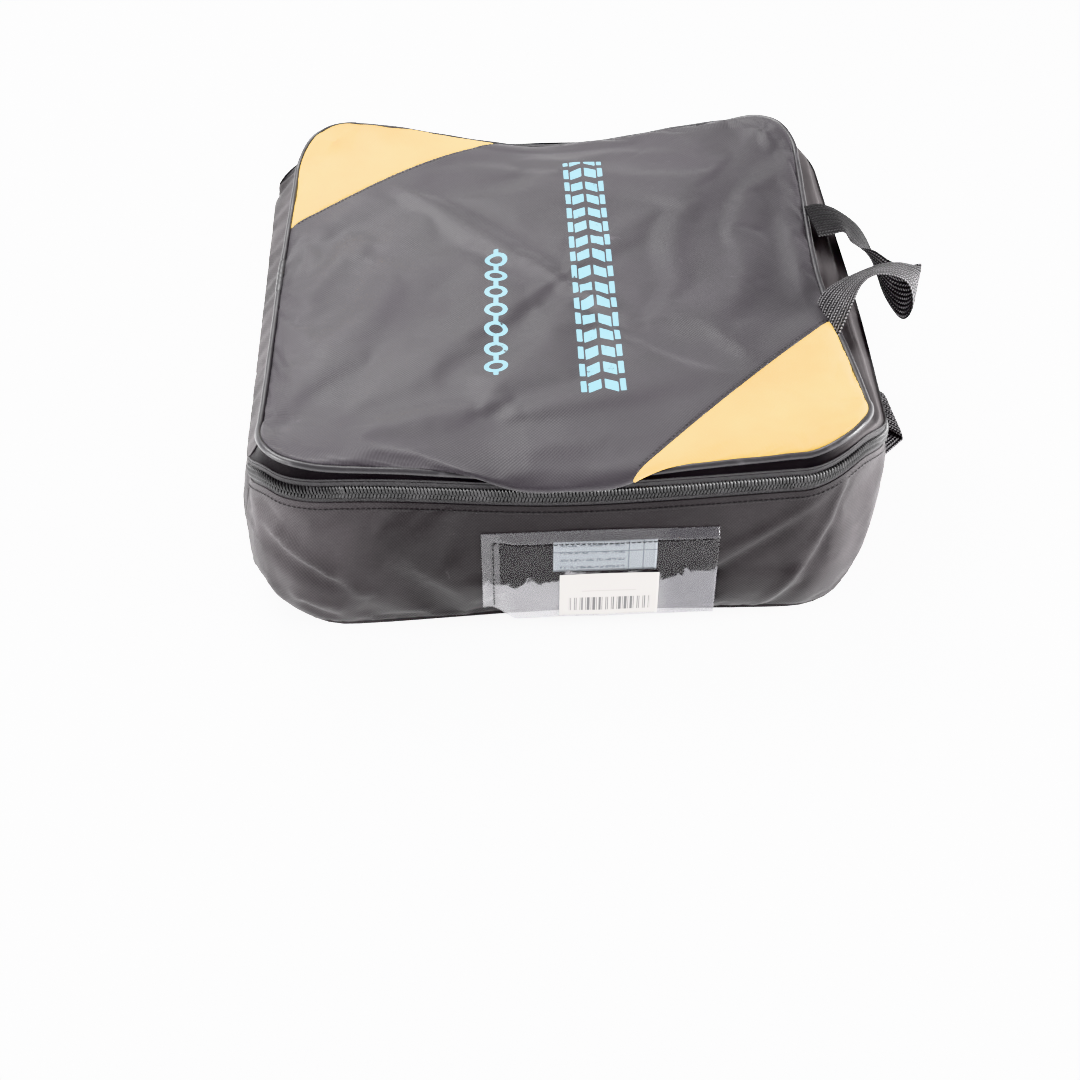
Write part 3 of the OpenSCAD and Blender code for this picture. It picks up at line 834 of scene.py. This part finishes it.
PATCHES = {"corner_patch_front": patch_line(4.25, 7.625), "corner_patch_rear": patch_line(12.25, 15.5)}


def drop_side(shell, start, normal):
    """Deletes the faces on the side of the seam that the normal points to."""
    gone = [f for f in shell.faces if (f.calc_center_median() - start).dot(normal) > 0]
    bmesh.ops.delete(shell, geom=gone, context="FACES")


def cut_patch(lid, name, line):
    """Cuts the lid along the seam, sinks the seam a little and returns the patch as its own piece."""
    shell = bmesh.new()
    shell.from_mesh(lid.data)
    start, end = (Vector((*p, 0)) * MM for p in line)
    ahead = (end - start).normalized()
    normal = Vector((-ahead.y, ahead.x, 0))
    if normal.dot(start) < 0:
        normal.negate()
    everything = shell.verts[:] + shell.edges[:] + shell.faces[:]
    bmesh.ops.bisect_plane(shell, geom=everything, dist=1e-6, plane_co=start, plane_no=normal)
    for v in shell.verts:
        away = (v.co - start).dot(normal) / MM
        v.co.z -= SEAM_SINK * MM * bell(away, 0, SEAM_WIDTH)
    shell.normal_update()
    patch = shell.copy()
    drop_side(shell, start, normal)
    drop_side(patch, start, -normal)
    shell.to_mesh(lid.data)
    mesh = bpy.data.meshes.new(name)
    patch.to_mesh(mesh)
    shell.free()
    patch.free()
    mesh.materials.clear()
    mesh.materials.append(patch_cloth)
    return show(name, mesh)


def surface_path(tree, points):
    """The points dropped on a surface from above, with the surface's upward normals there."""
    hits = [tree.ray_cast(Vector((x * MM, y * MM, RAY_START)), Vector((0, 0, -1))) for x, y in points]
    hits = [h for h in hits if h[0] is not None]
    normals = np.array([h[1] for h in hits])
    return np.array([h[0] for h in hits]) / MM, normals * np.sign(normals[:, 2:3])


def build_lid():
    points, rim = lid_surface()
    lid = sheet("lid_panel_cloth", points, lid_cloth)
    freedom = seam_freedom(points[..., 0], points[..., 1]).ravel()
    relax(lid, rim.ravel(), growth=0.0075, frames=18, cap=3.2, pressure=0.12, bending=0.6, freedom=freedom)
    tree = tree_of(lid)
    for name, line in PATCHES.items():
        patch = cut_patch(lid, name + "_cloth", line)
        thicken(patch, LID_CLOTH_T)
        settle(patch, "lid", "patch_fabric", name)
        build_patch_stitches(tree, name, *line)
    thicken(lid, LID_CLOTH_T)
    settle(lid, "lid", "lid_fabric", "lid_panel")


def build_patch_stitches(tree, name, start, end):
    """Topstitching on the panel's side of the seam."""
    f = np.linspace(0.02, 0.98, 160)[:, None]
    inward = unit(np.array([start[1] - end[1], end[0] - start[0]]))
    inward *= -np.sign(inward @ start)
    path, normals = surface_path(tree, start + (end - start) * f + inward * 2.2)
    rows = stitch_row(name + "_stitches", path, normals, black_thread, radius=0.2)
    settle(rows, "lid", "lid_fabric")


def build_piping():
    t = even_stations(0, SLEEVE_FIRST, 3)
    out, z = piping_line(t)
    lump = 0.12 * np.sin(run(t) / 5.3) + 0.1 * np.sin(run(t) / 11.7 + 1)
    section = ring_section(out, z + lump, PIPING_D / 2 + 0.3 * lump)
    settle(sweep("piping_cord", t, section, piping_cover), "lid", "piping", "lid_piping")
    t = even_stations(SLEEVE_FIRST, STATIONS, 1.5)
    out, z = piping_line(t)
    f = np.linspace(0, 1, len(t))
    swell = 1 - 0.18 * bell(f, 0, 0.05) - 0.18 * bell(f, 1, 0.05)
    section = ring_section(out, z, SLEEVE_D / 2 * swell + 0.12 * np.sin(f * 40) - 0.3)
    settle(sweep("piping_sleeve_cover", t, section, sleeve_cover), "lid", "piping", "piping_sleeve")


# Height of the pleat that runs along the band between zip and piping, one value per station
BAND_RIDGE = [0, 0, 0, 0, 0, 0, 0.5, 2.5, 3.2, 3.2, 2.5, 2.5, 4.5, 3, 1, 0]


def build_band():
    t = even_stations(ZIP_FIRST, ZIP_LAST, 3)
    out, z = piping_line(t)
    low_out, low_z = along(ZIP_OUT, t), along(ZIP_Z, t) + ZIP_HALF - 1.5
    high_z = np.maximum(z - 1.5, low_z + 1.5)
    step_out, step_z = (out - 0.8 - low_out)[:, None], (high_z - low_z)[:, None]
    f = np.linspace(0, 1, 25)[None]
    hollow = -np.sin(np.pi * f) * np.minimum(2.2, 0.14 * step_z)
    wavy = 0.35 * ripple(run(t)[:, None], 20 * f, 9, 0.3) * np.sin(np.pi * f)
    ridge = along(BAND_RIDGE, t)[:, None] * (bell(f, 0.4, 0.12) - 0.5 * bell(f, 0.68, 0.09))
    rise = (hollow + wavy + ridge) / np.hypot(step_out, step_z)
    front_out = low_out[:, None] + step_out * f + step_z * rise
    front_z = low_z[:, None] + step_z * f - step_out * rise
    front = np.stack([front_out, front_z], -1)
    section = np.concatenate([front, (front - [1.3, 0])[:, ::-1]], 1)
    settle(sweep("lid_band_cloth", t, section, band_cloth), "lid", "bag_fabric", "lid_band")


# ---------------- the walls
WALL_STEP = 2.9
WALL_LEVELS = 36
WALL_CLOTH_T = 0.8
WALL_HEM = 6.5

# Folds of the walls: station and height of both ends, height of the fold and its half-width
WALL_FOLDS = [
    (5.7, 110, 4.9, 18, 4.5, 5), (5.66, 98, 4.95, 10, -3.0, 9), (5.33, 104, 4.62, 55, 3.2, 4.5),
    (5.2, 98, 4.6, 42, -2.0, 7), (2.04, 84, 2.75, 60, 3.6, 6), (2.0, 72, 2.8, 48, -3.4, 7),
    (2.75, 60, 3.05, 40, 2.4, 6), (2.3, 24, 2.7, 14, -3.2, 5), (2.25, 34, 2.8, 26, 2.6, 6),
    (1.6, 60, 1.9, 20, 2.5, 7), (3.1, 70, 3.4, 20, -1.4, 12), (6.4, 80, 6.2, 20, 2.6, 8),
    (7.2, 70, 6.8, 20, -2.2, 8), (8.6, 60, 9.3, 25, 2.4, 7), (10.2, 80, 9.8, 20, 2.6, 8),
    (11.2, 70, 11.8, 25, 2.0, 8), (12.7, 60, 12.2, 20, -2.0, 9), (13.8, 80, 14.2, 25, 2.8, 7),
    (14.9, 70, 15.3, 30, 2.0, 9), (0.5, 60, 1.0, 30, 2.2, 9)]


def wall_folds(t, z):
    rise = np.zeros(np.broadcast(t, z).shape)
    for t1, z1, t2, z2, height, width in WALL_FOLDS:
        for lap in (-STATIONS, 0, STATIONS):
            start = np.array([run(t1 + lap), z1])
            step = np.array([run(t2 + lap), z2]) - start
            u, v = run(t) - start[0], z - start[1]
            f = np.clip((u * step[0] + v * step[1]) / (step @ step), -0.3, 1.3)
            away = np.hypot(u - f * step[0], v - f * step[1])
            fade = smooth(-0.3, 0.1, f) * (1 - smooth(0.9, 1.3, f))
            rise = rise + height * fade * np.exp(-((away / width) ** 2))
    return rise


def wall_out(t, share):
    """Offset of the wall's outside at a share of its height."""
    return (along(BASE_OUT, t) * (1 - share) + along(ZIP_OUT, t) * share
        + along(WALL_BULGE, t) * np.sin(np.pi * share**0.7)
        + 7 * bell(t, 7.6, 0.55) * np.sin(np.pi * share**4))


def card_way(t, z):
    """1 where the wall has to keep clear of the pocket and of the card's way out of it."""
    return smooth(3.45, 3.55, t) * (1 - smooth(5.35, 5.5, t)) * smooth(42, 50, z)


def wall_points(t, top, levels):
    share = np.linspace(0, 1, levels)[None]
    z = FOOT + share * (top[:, None] - FOOT)
    calm = np.sin(np.pi * share) ** 0.5
    at = t[:, None] + 0 * share
    free = wall_out(at, share) + calm * wall_folds(at, z)
    free = free + calm * 0.3 * ripple(run(at), z, 13, 1.1)
    out = np.minimum(free, -2.3 + 9 * (1 - card_way(at, z)))
    return place(at, out, z)


def edge_mask(rows, cols):
    mask = np.zeros((rows, cols), bool)
    mask[[0, -1], :] = True
    mask[:, [0, -1]] = True
    return mask


def build_wall():
    t = even_stations(ZIP_FIRST, ZIP_LAST, WALL_STEP)
    points = wall_points(t, along(ZIP_Z, t) - ZIP_HALF + 1.2, WALL_LEVELS)
    wall = sheet("side_wall_cloth", points, bag_cloth)
    freedom = 1 - card_way(t[:, None], points[..., 2]).ravel()
    pins = edge_mask(*points.shape[:2]).ravel()
    relax(wall, pins, growth=0.015, frames=14, cap=3.0, bending=0.4, freedom=freedom)
    tree = tree_of(wall)
    thicken(wall, WALL_CLOTH_T)
    settle(wall, "bag", "bag_fabric", "side_wall")
    return tree


def hinge_flap_points(t, wall_top, end):
    """The flap from the hinge line up to the piping, in two parts; end is 1 at the zip's ends."""
    low_out = along(ZIP_OUT, t)
    top_out, top_z = piping_line(t)
    top_out, top_z = top_out - 0.8, top_z - 1.2
    knee_z = along(ZIP_Z, t) + 3 + (ZIP_HALF - 4.5) * end
    knee_share = (knee_z - wall_top) / (top_z - wall_top)
    knee_out = low_out + (top_out - low_out) * knee_share * (1 - end)
    low_out, knee_out, top_out, wall_top, knee_z, top_z, end = (
        v[:, None] for v in (low_out, knee_out, top_out, wall_top, knee_z, top_z, end))
    f = np.linspace(0, 2, 15)[None, 1:]
    low_part, high_part = np.minimum(f, 1), np.maximum(f - 1, 0)
    out = low_out + (knee_out - low_out) * low_part + (top_out - knee_out) * high_part
    z = wall_top + (knee_z - wall_top) * low_part + (top_z - knee_z) * high_part
    swell = 3 * (1 - end) * np.sin(np.pi * f / 2) - 1.5 * end * np.sin(np.pi * high_part)
    return place(t[:, None] + 0 * f, out + swell, z)


def build_hinge_panel():
    """One panel on the hinge side: wall below the hinge line, flap above it."""
    last = STATIONS + ZIP_FIRST
    t = even_stations(ZIP_LAST, last, WALL_STEP)
    end = 1 - smooth(ZIP_LAST, ZIP_LAST + 0.3, t) + smooth(last - 0.3, last, t)
    wall_top = along(ZIP_Z, t) - (ZIP_HALF - 1.2) * end
    wall = wall_points(t, wall_top, WALL_LEVELS)
    points = np.concatenate([wall, hinge_flap_points(t, wall_top, end)], 1)
    panel = sheet("hinge_panel_cloth", points, bag_cloth)
    pins = edge_mask(*points.shape[:2])
    pins[:, WALL_LEVELS - 1] = True
    relax(panel, pins.ravel(), growth=0.006, frames=14, cap=2.0, bending=1.6)
    thicken(panel, WALL_CLOTH_T)
    settle(panel, None, "bag_fabric", "hinge_wall", "hinge_flap")
    start, end = ((-BAG_W / 2 * MM, 0, (HINGE_Z + way * FOLD_REACH) * MM) for way in (-1, 1))
    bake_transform(panel)


def build_corner_seam(node, t):
    """Binding tape over the raw edges inside, where the wall meets the hinge panel."""
    z = np.linspace(15, 75, 25)[None]
    at = t + np.array([-0.1, 0.1])[:, None]
    share = (z - FOOT) / (along(ZIP_Z, t) - ZIP_HALF + 1.2 - FOOT)
    points = place(at + 0 * z, wall_out(t, share) - 3.4 + 0 * at, z + 0 * at)
    tape = sheet(node + "_tape", points, binding_cloth, sharp=50)
    thicken(tape, TAPE_T)
    settle(tape, "bag", "binding", node)


def build_wall_hem():
    """The wall's topstitched upper edge, under the zip tape."""
    t = even_stations(ZIP_FIRST, ZIP_LAST, 3)
    top = along(ZIP_Z, t) - ZIP_HALF + 1.6
    out = along(ZIP_OUT, t)
    low_out = wall_out(t, 1 - WALL_HEM / (top - FOOT)) + 0.7
    section = strip_section(low_out, top - WALL_HEM, out + 0.7, top, 1.4, 4)
    settle(sweep("wall_hem", t, section, bag_cloth), "bag", "bag_fabric")
    path = place(t, 0.55 * low_out + 0.45 * out + 0.72, top - 4.2)
    settle(stitch_row("wall_hem_stitches", path, normals_at(t), black_thread), "bag", "bag_fabric")


# ---------------- the zip
# One loop of the coil across its row: distance from the zip's middle and outward from the tape
COIL_LOOP = np.array(
    [(4.3, -0.5), (4.1, 0.3), (3.3, 0.9), (1.8, 1.2), (0.4, 1.0), (-0.5, 0.4), (-0.6, -0.3)])
COIL_WIRE = [0.6, 0.85, 0.93, 0.93, 0.93, 0.85, 0.6]
COIL_LEAN = 0.9
COIL_PITCH = 2.1


def build_tape(node, up, body):
    t = even_stations(ZIP_FIRST, ZIP_LAST, 3)
    out = along(ZIP_OUT, t) - 0.2
    ends = along(ZIP_Z, t) + up * np.array([[0.5], [ZIP_HALF]])
    section = strip_section(out, ends.min(0), out, ends.max(0), TAPE_T * 0.7)
    settle(sweep(node + "_cloth", t, section, tape_cloth), body, "zip_tape", node)


def build_coil(node, up, body):
    """A row of nylon loops; the upper row's loops stand between the lower row's."""
    t = even_stations(COIL_FIRST - 0.2, COIL_LAST + 0.2, COIL_PITCH)
    if up > 0:
        t = 0.5 * (t[1:] + t[:-1])
    out = along(ZIP_OUT, t)[:, None] + COIL_LOOP[None, :, 1]
    z = along(ZIP_Z, t)[:, None] + up * COIL_LOOP[None, :, 0]
    normals = normals_at(t)
    ahead = np.stack([-normals[:, 1], normals[:, 0], 0 * t], 1)
    lean = COIL_LEAN * np.linspace(-1, 1, len(COIL_LOOP))
    lines = place(t[:, None] + 0 * out, out, z) + ahead[:, None] * lean[None, :, None]
    settle(tubes(node + "_loops", lines, ahead, COIL_WIRE, coil_nylon), body, "zip_coil", node)


def build_zip():
    rows = [("lower", -1, "bag"), ("upper", 1, "lid")]
    for row, up, body in rows:
        build_tape(row + "_zip_tape", up, body)
    for row, up, body in rows:
        build_coil(row + "_zip_coil", up, body)
    for node in ("slider_face", "slider_back", "pull_tab"):
        dress(node, dark_metal, 0.25)


def dress(node, material, bevel=0.0):
    """Gives a CAD node its material, and softened edges where it shows."""
    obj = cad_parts[node]
    obj.data.materials.clear()
    obj.data.materials.append(material)
    if bevel:
        soft = obj.modifiers.new("soft_edges", "BEVEL")
        soft.width = bevel * MM
        soft.segments = 2
        soft.limit_method = "ANGLE"


# ---------------- the handles
# Route of the lid's handle, front end first: centre and half-width direction of the webbing
LID_ROUTE = [
    ((174, -54, 126), (-4, 22, 1)), ((178, -47, 129), (-4, 20, -1)), ((187, -34, 133), (-3, 18, -6)),
    ((198, -22, 135), (1, 17, -8)), ((212, -12, 135), (4, 16.5, -8)),
    ((228, -7, 132), (5, 17, -6.5)), ((240, -6, 126), (6, 17, -4)),
    ((245, -4, 116), (5, 15, 5)), ((242, 1, 107), (3, 9, 14)),
    ((234, 11, 104), (-2, 3, 18)), ((226, 26, 107), (-5, -2, 18)),
    ((220, 40, 113), (-8, -11, 12)), ((212, 51, 121), (-6.5, -16, 5.5)),
    ((202, 58, 128), (-1, -18, 3)), ((191, 58, 130), (1, -18, 0)),
    ((181, 57, 129), (2, -18, 0))]
BASE_Z = 1.2
BASE_ROUTE = [
    ((193, -57, BASE_Z), (0, 19, 0)), ((202, -50, BASE_Z), (0, 21, 0)),
    ((216, -36, BASE_Z), (-1, 24.7, 0)), ((240, -12, BASE_Z), (-2, 24.6, 0)),
    ((244, -8, BASE_Z + 1.8), (-2, 24.6, 0)), ((240, -4, BASE_Z + 3.6), (-2, 24.6, 0)),
    ((216, 20, BASE_Z + 3.6), (-1, 24.7, 0)), ((203, 34, BASE_Z + 2), (0, 21, 0)),
    ((193, 43, BASE_Z), (0, 19, 0))]


def through(points, steps):
    """A smooth Catmull-Rom line through the points."""
    p = np.asarray(points, float)
    p = np.concatenate([[2 * p[0] - p[1]], p, [2 * p[-1] - p[-2]]])
    f = np.linspace(0, 1, steps, endpoint=False)[:, None]
    parts = []
    for a, b, c, d in zip(p[:-3], p[1:-2], p[2:-1], p[3:]):
        parts.append(b + 0.5 * f * (c - a + f * (2 * a - 5 * b + 4 * c - d + f * (3 * (b - c) + d - a))))
    return np.concatenate(parts + [p[-2][None]])


def webbing(name, route, width=None, steps=14, cols=18):
    """Webbing along a route, with rounded edges and ribs; it is as wide as the route says or as width."""
    centre = through([c for c, _ in route], steps)
    half = through([w for _, w in route], steps)
    if width:
        half = unit(half) * width / 2
    normal = unit(np.cross(np.gradient(centre, axis=0), half))
    v = np.linspace(-1, 1, cols)
    thick = WEBBING_T / 2 * np.sqrt(np.clip(1 - np.abs(v) ** 12, 0.08, 1))
    ribs = 0.12 * np.cos(v * np.pi * 6)
    face = centre[:, None] + half[:, None] * v[:, None]
    rise = normal[:, None] * (thick + ribs)[:, None]
    points = np.concatenate([face + rise, (face - rise)[:, ::-1]], 1)
    return skin(name, points, webbing_cloth, sharp=60)


def build_handles():
    lid_handle = webbing("lid_handle_webbing", LID_ROUTE, WEBBING_W)
    settle(lid_handle, None, "webbing", "lid_handle")
    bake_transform(lid_handle)
    base_handle = webbing("base_handle_webbing", BASE_ROUTE)
    settle(base_handle, "base_handle", "webbing", "base_handle")


# ---------------- the label pocket
# y of the front wall where a ray misses it
WALL_Y = -198.0
FILM_T = 0.35
FILM_SHORT = 3
POCKET_HEM = 7
LABEL_T = 0.15
CARD_T = 0.3


def drop_on_wall(tree, x, z):
    """y of the wall's outside at each x and z."""
    found = np.full(x.shape, WALL_Y)
    for index in np.ndindex(x.shape):
        hit = tree.ray_cast(Vector((x[index] * MM, -RAY_START, z[index] * MM)), Vector((0, 1, 0)))
        if hit[0] is not None:
            found[index] = hit[0].y / MM
    return found


def film_y(tree, x, z, low, high):
    """y of the film: on the wall along its left and top edges, lifted clear of the card inside elsewhere.
    """
    wall = drop_on_wall(tree, x, z)
    lift = smooth(low.x / MM + 4, low.x / MM + 22, x) * (1 - smooth(high.z / MM - 9, high.z / MM - 3, z))
    crumple = 0.35 * ripple(x, z, 7, 0.9) * lift
    return (wall - 0.9) * (1 - lift) + (low.y / MM + 0.35 + crumple) * lift


def upright(low, high, columns, rows, short=0):
    """x and z of an even grid over the front of a CAD box; short is left out at its top."""
    x = np.linspace(low.x / MM, high.x / MM, columns)
    z = np.linspace(low.z / MM, high.z / MM - short, rows)
    return np.meshgrid(x, z, indexing="ij")


def share_of(v):
    """v taken from its lowest..highest to 0..1."""
    return (v - v.min()) / (v.max() - v.min())


def build_pocket(tree):
    low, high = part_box("label_pocket")
    x, z = upright(low, high, 90, 56, FILM_SHORT)
    pocket = sheet("label_pocket_film", np.stack([x, film_y(tree, x, z, low, high), z], -1), film)
    thicken(pocket, FILM_T)
    settle(pocket, "bag", "clear_film", "label_pocket")
    left, right = low.x / MM + POCKET_HEM, high.x / MM - 3
    bottom, top = low.z / MM + 3, high.z / MM - POCKET_HEM - FILM_SHORT
    corners = [(left, bottom), (left, top), (right, top)]
    x, z = np.concatenate([np.linspace(a, b, 80) for a, b in zip(corners, corners[1:])]).T
    path = np.stack([x, film_y(tree, x, z, low, high) - 0.1, z], 1)
    normals = np.tile([0.0, -1.0, 0.0], (len(path), 1))
    rows = stitch_row("label_pocket_stitches", path, normals, black_thread, 3.4, 2.6, 0.36)
    settle(rows, "bag", "bag_fabric")
    build_label(tree, low, high)


def build_label(tree, pocket_low, pocket_high):
    """Paper label stuck on the outside of the film; it follows the film's lift."""
    x, z = upright(*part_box("bar_label"), 40, 26)
    y = film_y(tree, x, z, pocket_low, pocket_high)
    y = np.minimum(y, np.median(y)) * 0.5 + 0.5 * y - 0.15
    corner = smooth(0.75, 1.0, share_of(x)) * smooth(0.7, 1.0, share_of(z))
    label = sheet("bar_label_paper", np.stack([x, y - 0.5 * corner, z], -1), label_paper, sharp=50)
    thicken(label, LABEL_T, offset=1)
    settle(label, "bag", "label_paper", "bar_label")


def build_card():
    """Loose card in the pocket, a little bowed."""
    low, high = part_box("name_card")
    x, z = upright(low, high, 40, 16)
    y = (low.y + high.y) / 2 / MM - 0.12 * np.sin(np.pi * share_of(x))
    card = sheet("name_card_paper", np.stack([x, y, z], -1), card_paper, sharp=50)
    thicken(card, CARD_T, offset=0)
    settle(card, "name_card", "card_paper", "name_card")


# ---------------- the folded snow socks
SOCK_LAYERS = 8


def fold_path(half, bottom, pitch):
    """x and z of a layer that runs to and fro between -half and half, pitch apart."""
    path = []
    turn = np.linspace(0, math.pi, 9)[1:-1]
    for layer in range(SOCK_LAYERS):
        way = 1 if layer % 2 == 0 else -1
        height = bottom + pitch * (layer + 0.5)
        path += [(x, height) for x in np.linspace(-1, 1, 26) * way * half]
        if layer < SOCK_LAYERS - 1:
            path += [(way * (half + pitch * 0.42 * math.sin(a)), height + pitch * (1 - math.cos(a)) / 2)
                for a in turn]
    return np.array(path)


def folded_cover(node, seed):
    """A textile tyre cover folded into a stack: one long layer that turns back on itself."""
    low, high = (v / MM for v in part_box(node))
    size, middle = high - low, (low + high) / 2
    pitch = size.z / SOCK_LAYERS
    path = fold_path(size.x / 2 - pitch / 2, low.z, pitch)
    ahead = unit(np.gradient(path, axis=0))
    side = np.stack([-ahead[:, 1], ahead[:, 0]], 1)
    across = np.linspace(-1, 1, 44)
    thick = pitch * 0.43 * np.sqrt(np.clip(1 - np.abs(across) ** 6, 0.02, 1))
    across = np.concatenate([across, across[::-1]])
    thick = np.concatenate([thick, -thick[::-1]])
    line = path[:, None]
    face = line + side[:, None] * thick[:, None]
    x = middle.x + face[..., 0] * (1 - 0.02 * across**2)
    y = middle.y + 0.5 * size.y * 0.985 * across + 1.6 * np.sin(line[..., 0] / 40 + seed + line[..., 1] / 9)
    z = low.z + (face[..., 1] - low.z) * (1 - 0.06 * np.abs(across) ** 3)
    loose = np.clip((z - low.z) / size.z, 0, 1)
    z = z + loose * (0.9 * ripple(x, y, 27, seed) + 0.4 * ripple(x, y, 11, seed + 2))
    points = np.stack([x, y, np.clip(z, low.z + 0.05, high.z + 1.5)], -1)
    cover = skin(node + "_cover", points, sock_cloth, sharp=70)
    settle(cover, "bag", "sock_fabric", node)


# ---------------- the bag is put together
build_lid()
build_piping()
build_band()
wall_tree = build_wall()
build_hinge_panel()
build_wall_hem()
build_zip()
build_handles()
build_pocket(wall_tree)
build_card()
folded_cover("snow_sock_lower", 0.4)
folded_cover("snow_sock_upper", 2.1)
dress("base_panel", bag_cloth)
dress("base_binding", binding_cloth)
dress("lid_binding", binding_cloth)
build_corner_seam("corner_seam_front", ZIP_FIRST)
build_corner_seam("corner_seam_rear", ZIP_LAST)

# ---------------- camera, lights and floor
CAMERA_AT = (-0.059, -0.956, 0.807)
CAMERA_PITCH = 44
CAMERA_YAW = -2.8
CAMERA_LENS = 57.4
GLOW = 0.8
FLOOR_REACH = 20000
FLOOR_DROP = 0.3


def aim(obj, direction):
    obj.rotation_euler = Vector(direction).to_track_quat("-Z", "Y").to_euler()


def build_camera():
    data = bpy.data.cameras.new("camera")
    data.lens = CAMERA_LENS
    data.sensor_width = 36
    camera = show("camera", data)
    camera.location = CAMERA_AT
    pitch, yaw = math.radians(CAMERA_PITCH), math.radians(CAMERA_YAW)
    aim(camera, (-math.sin(yaw) * math.cos(pitch), math.cos(yaw) * math.cos(pitch), -math.sin(pitch)))
    bpy.context.scene.camera = camera


def soft_light(name, location, target, size, power):
    data = bpy.data.lights.new(name, "AREA")
    data.shape = "RECTANGLE"
    data.size, data.size_y = size
    data.energy = power
    light = show(name, data)
    light.location = location
    aim(light, Vector(target) - Vector(location))


def build_stage():
    """A pale floor that glows as brightly as the white world round it."""
    floor = blank("floor_paper", Roughness=0.9, Emission_Color=(1, 1, 1, 1), Emission_Strength=GLOW)
    grain = noise(place_coords(floor), 3, 2)
    finish(floor, mix(grain, (0.86, 0.86, 0.865), (0.88, 0.88, 0.88)))
    span = np.linspace(-FLOOR_REACH, FLOOR_REACH, 9)
    x, y = np.meshgrid(span, span, indexing="ij")
    sheet("floor", np.stack([x, y, 0 * x - FLOOR_DROP], -1), floor, sharp=50)
    world = bpy.data.worlds.new("studio")
    world.use_nodes = True
    background = world.node_tree.nodes["Background"]
    background.inputs["Color"].default_value = (1, 1, 1, 1)
    background.inputs["Strength"].default_value = GLOW
    bpy.context.scene.world = world


build_camera()
build_stage()
soft_light("top_light", (-0.5, 0.75, 1.3), (0, 0, 0.1), size=(1.1, 0.8), power=49)
soft_light("left_light", (-1.3, -0.5, 0.55), (-0.15, -0.15, 0.05), size=(0.7, 0.6), power=38)
soft_light("right_light", (1.35, -0.42, 0.45), (0.15, -0.15, 0.05), size=(0.7, 0.6), power=72)
bpy.context.scene.view_settings.view_transform = "Khronos PBR Neutral"
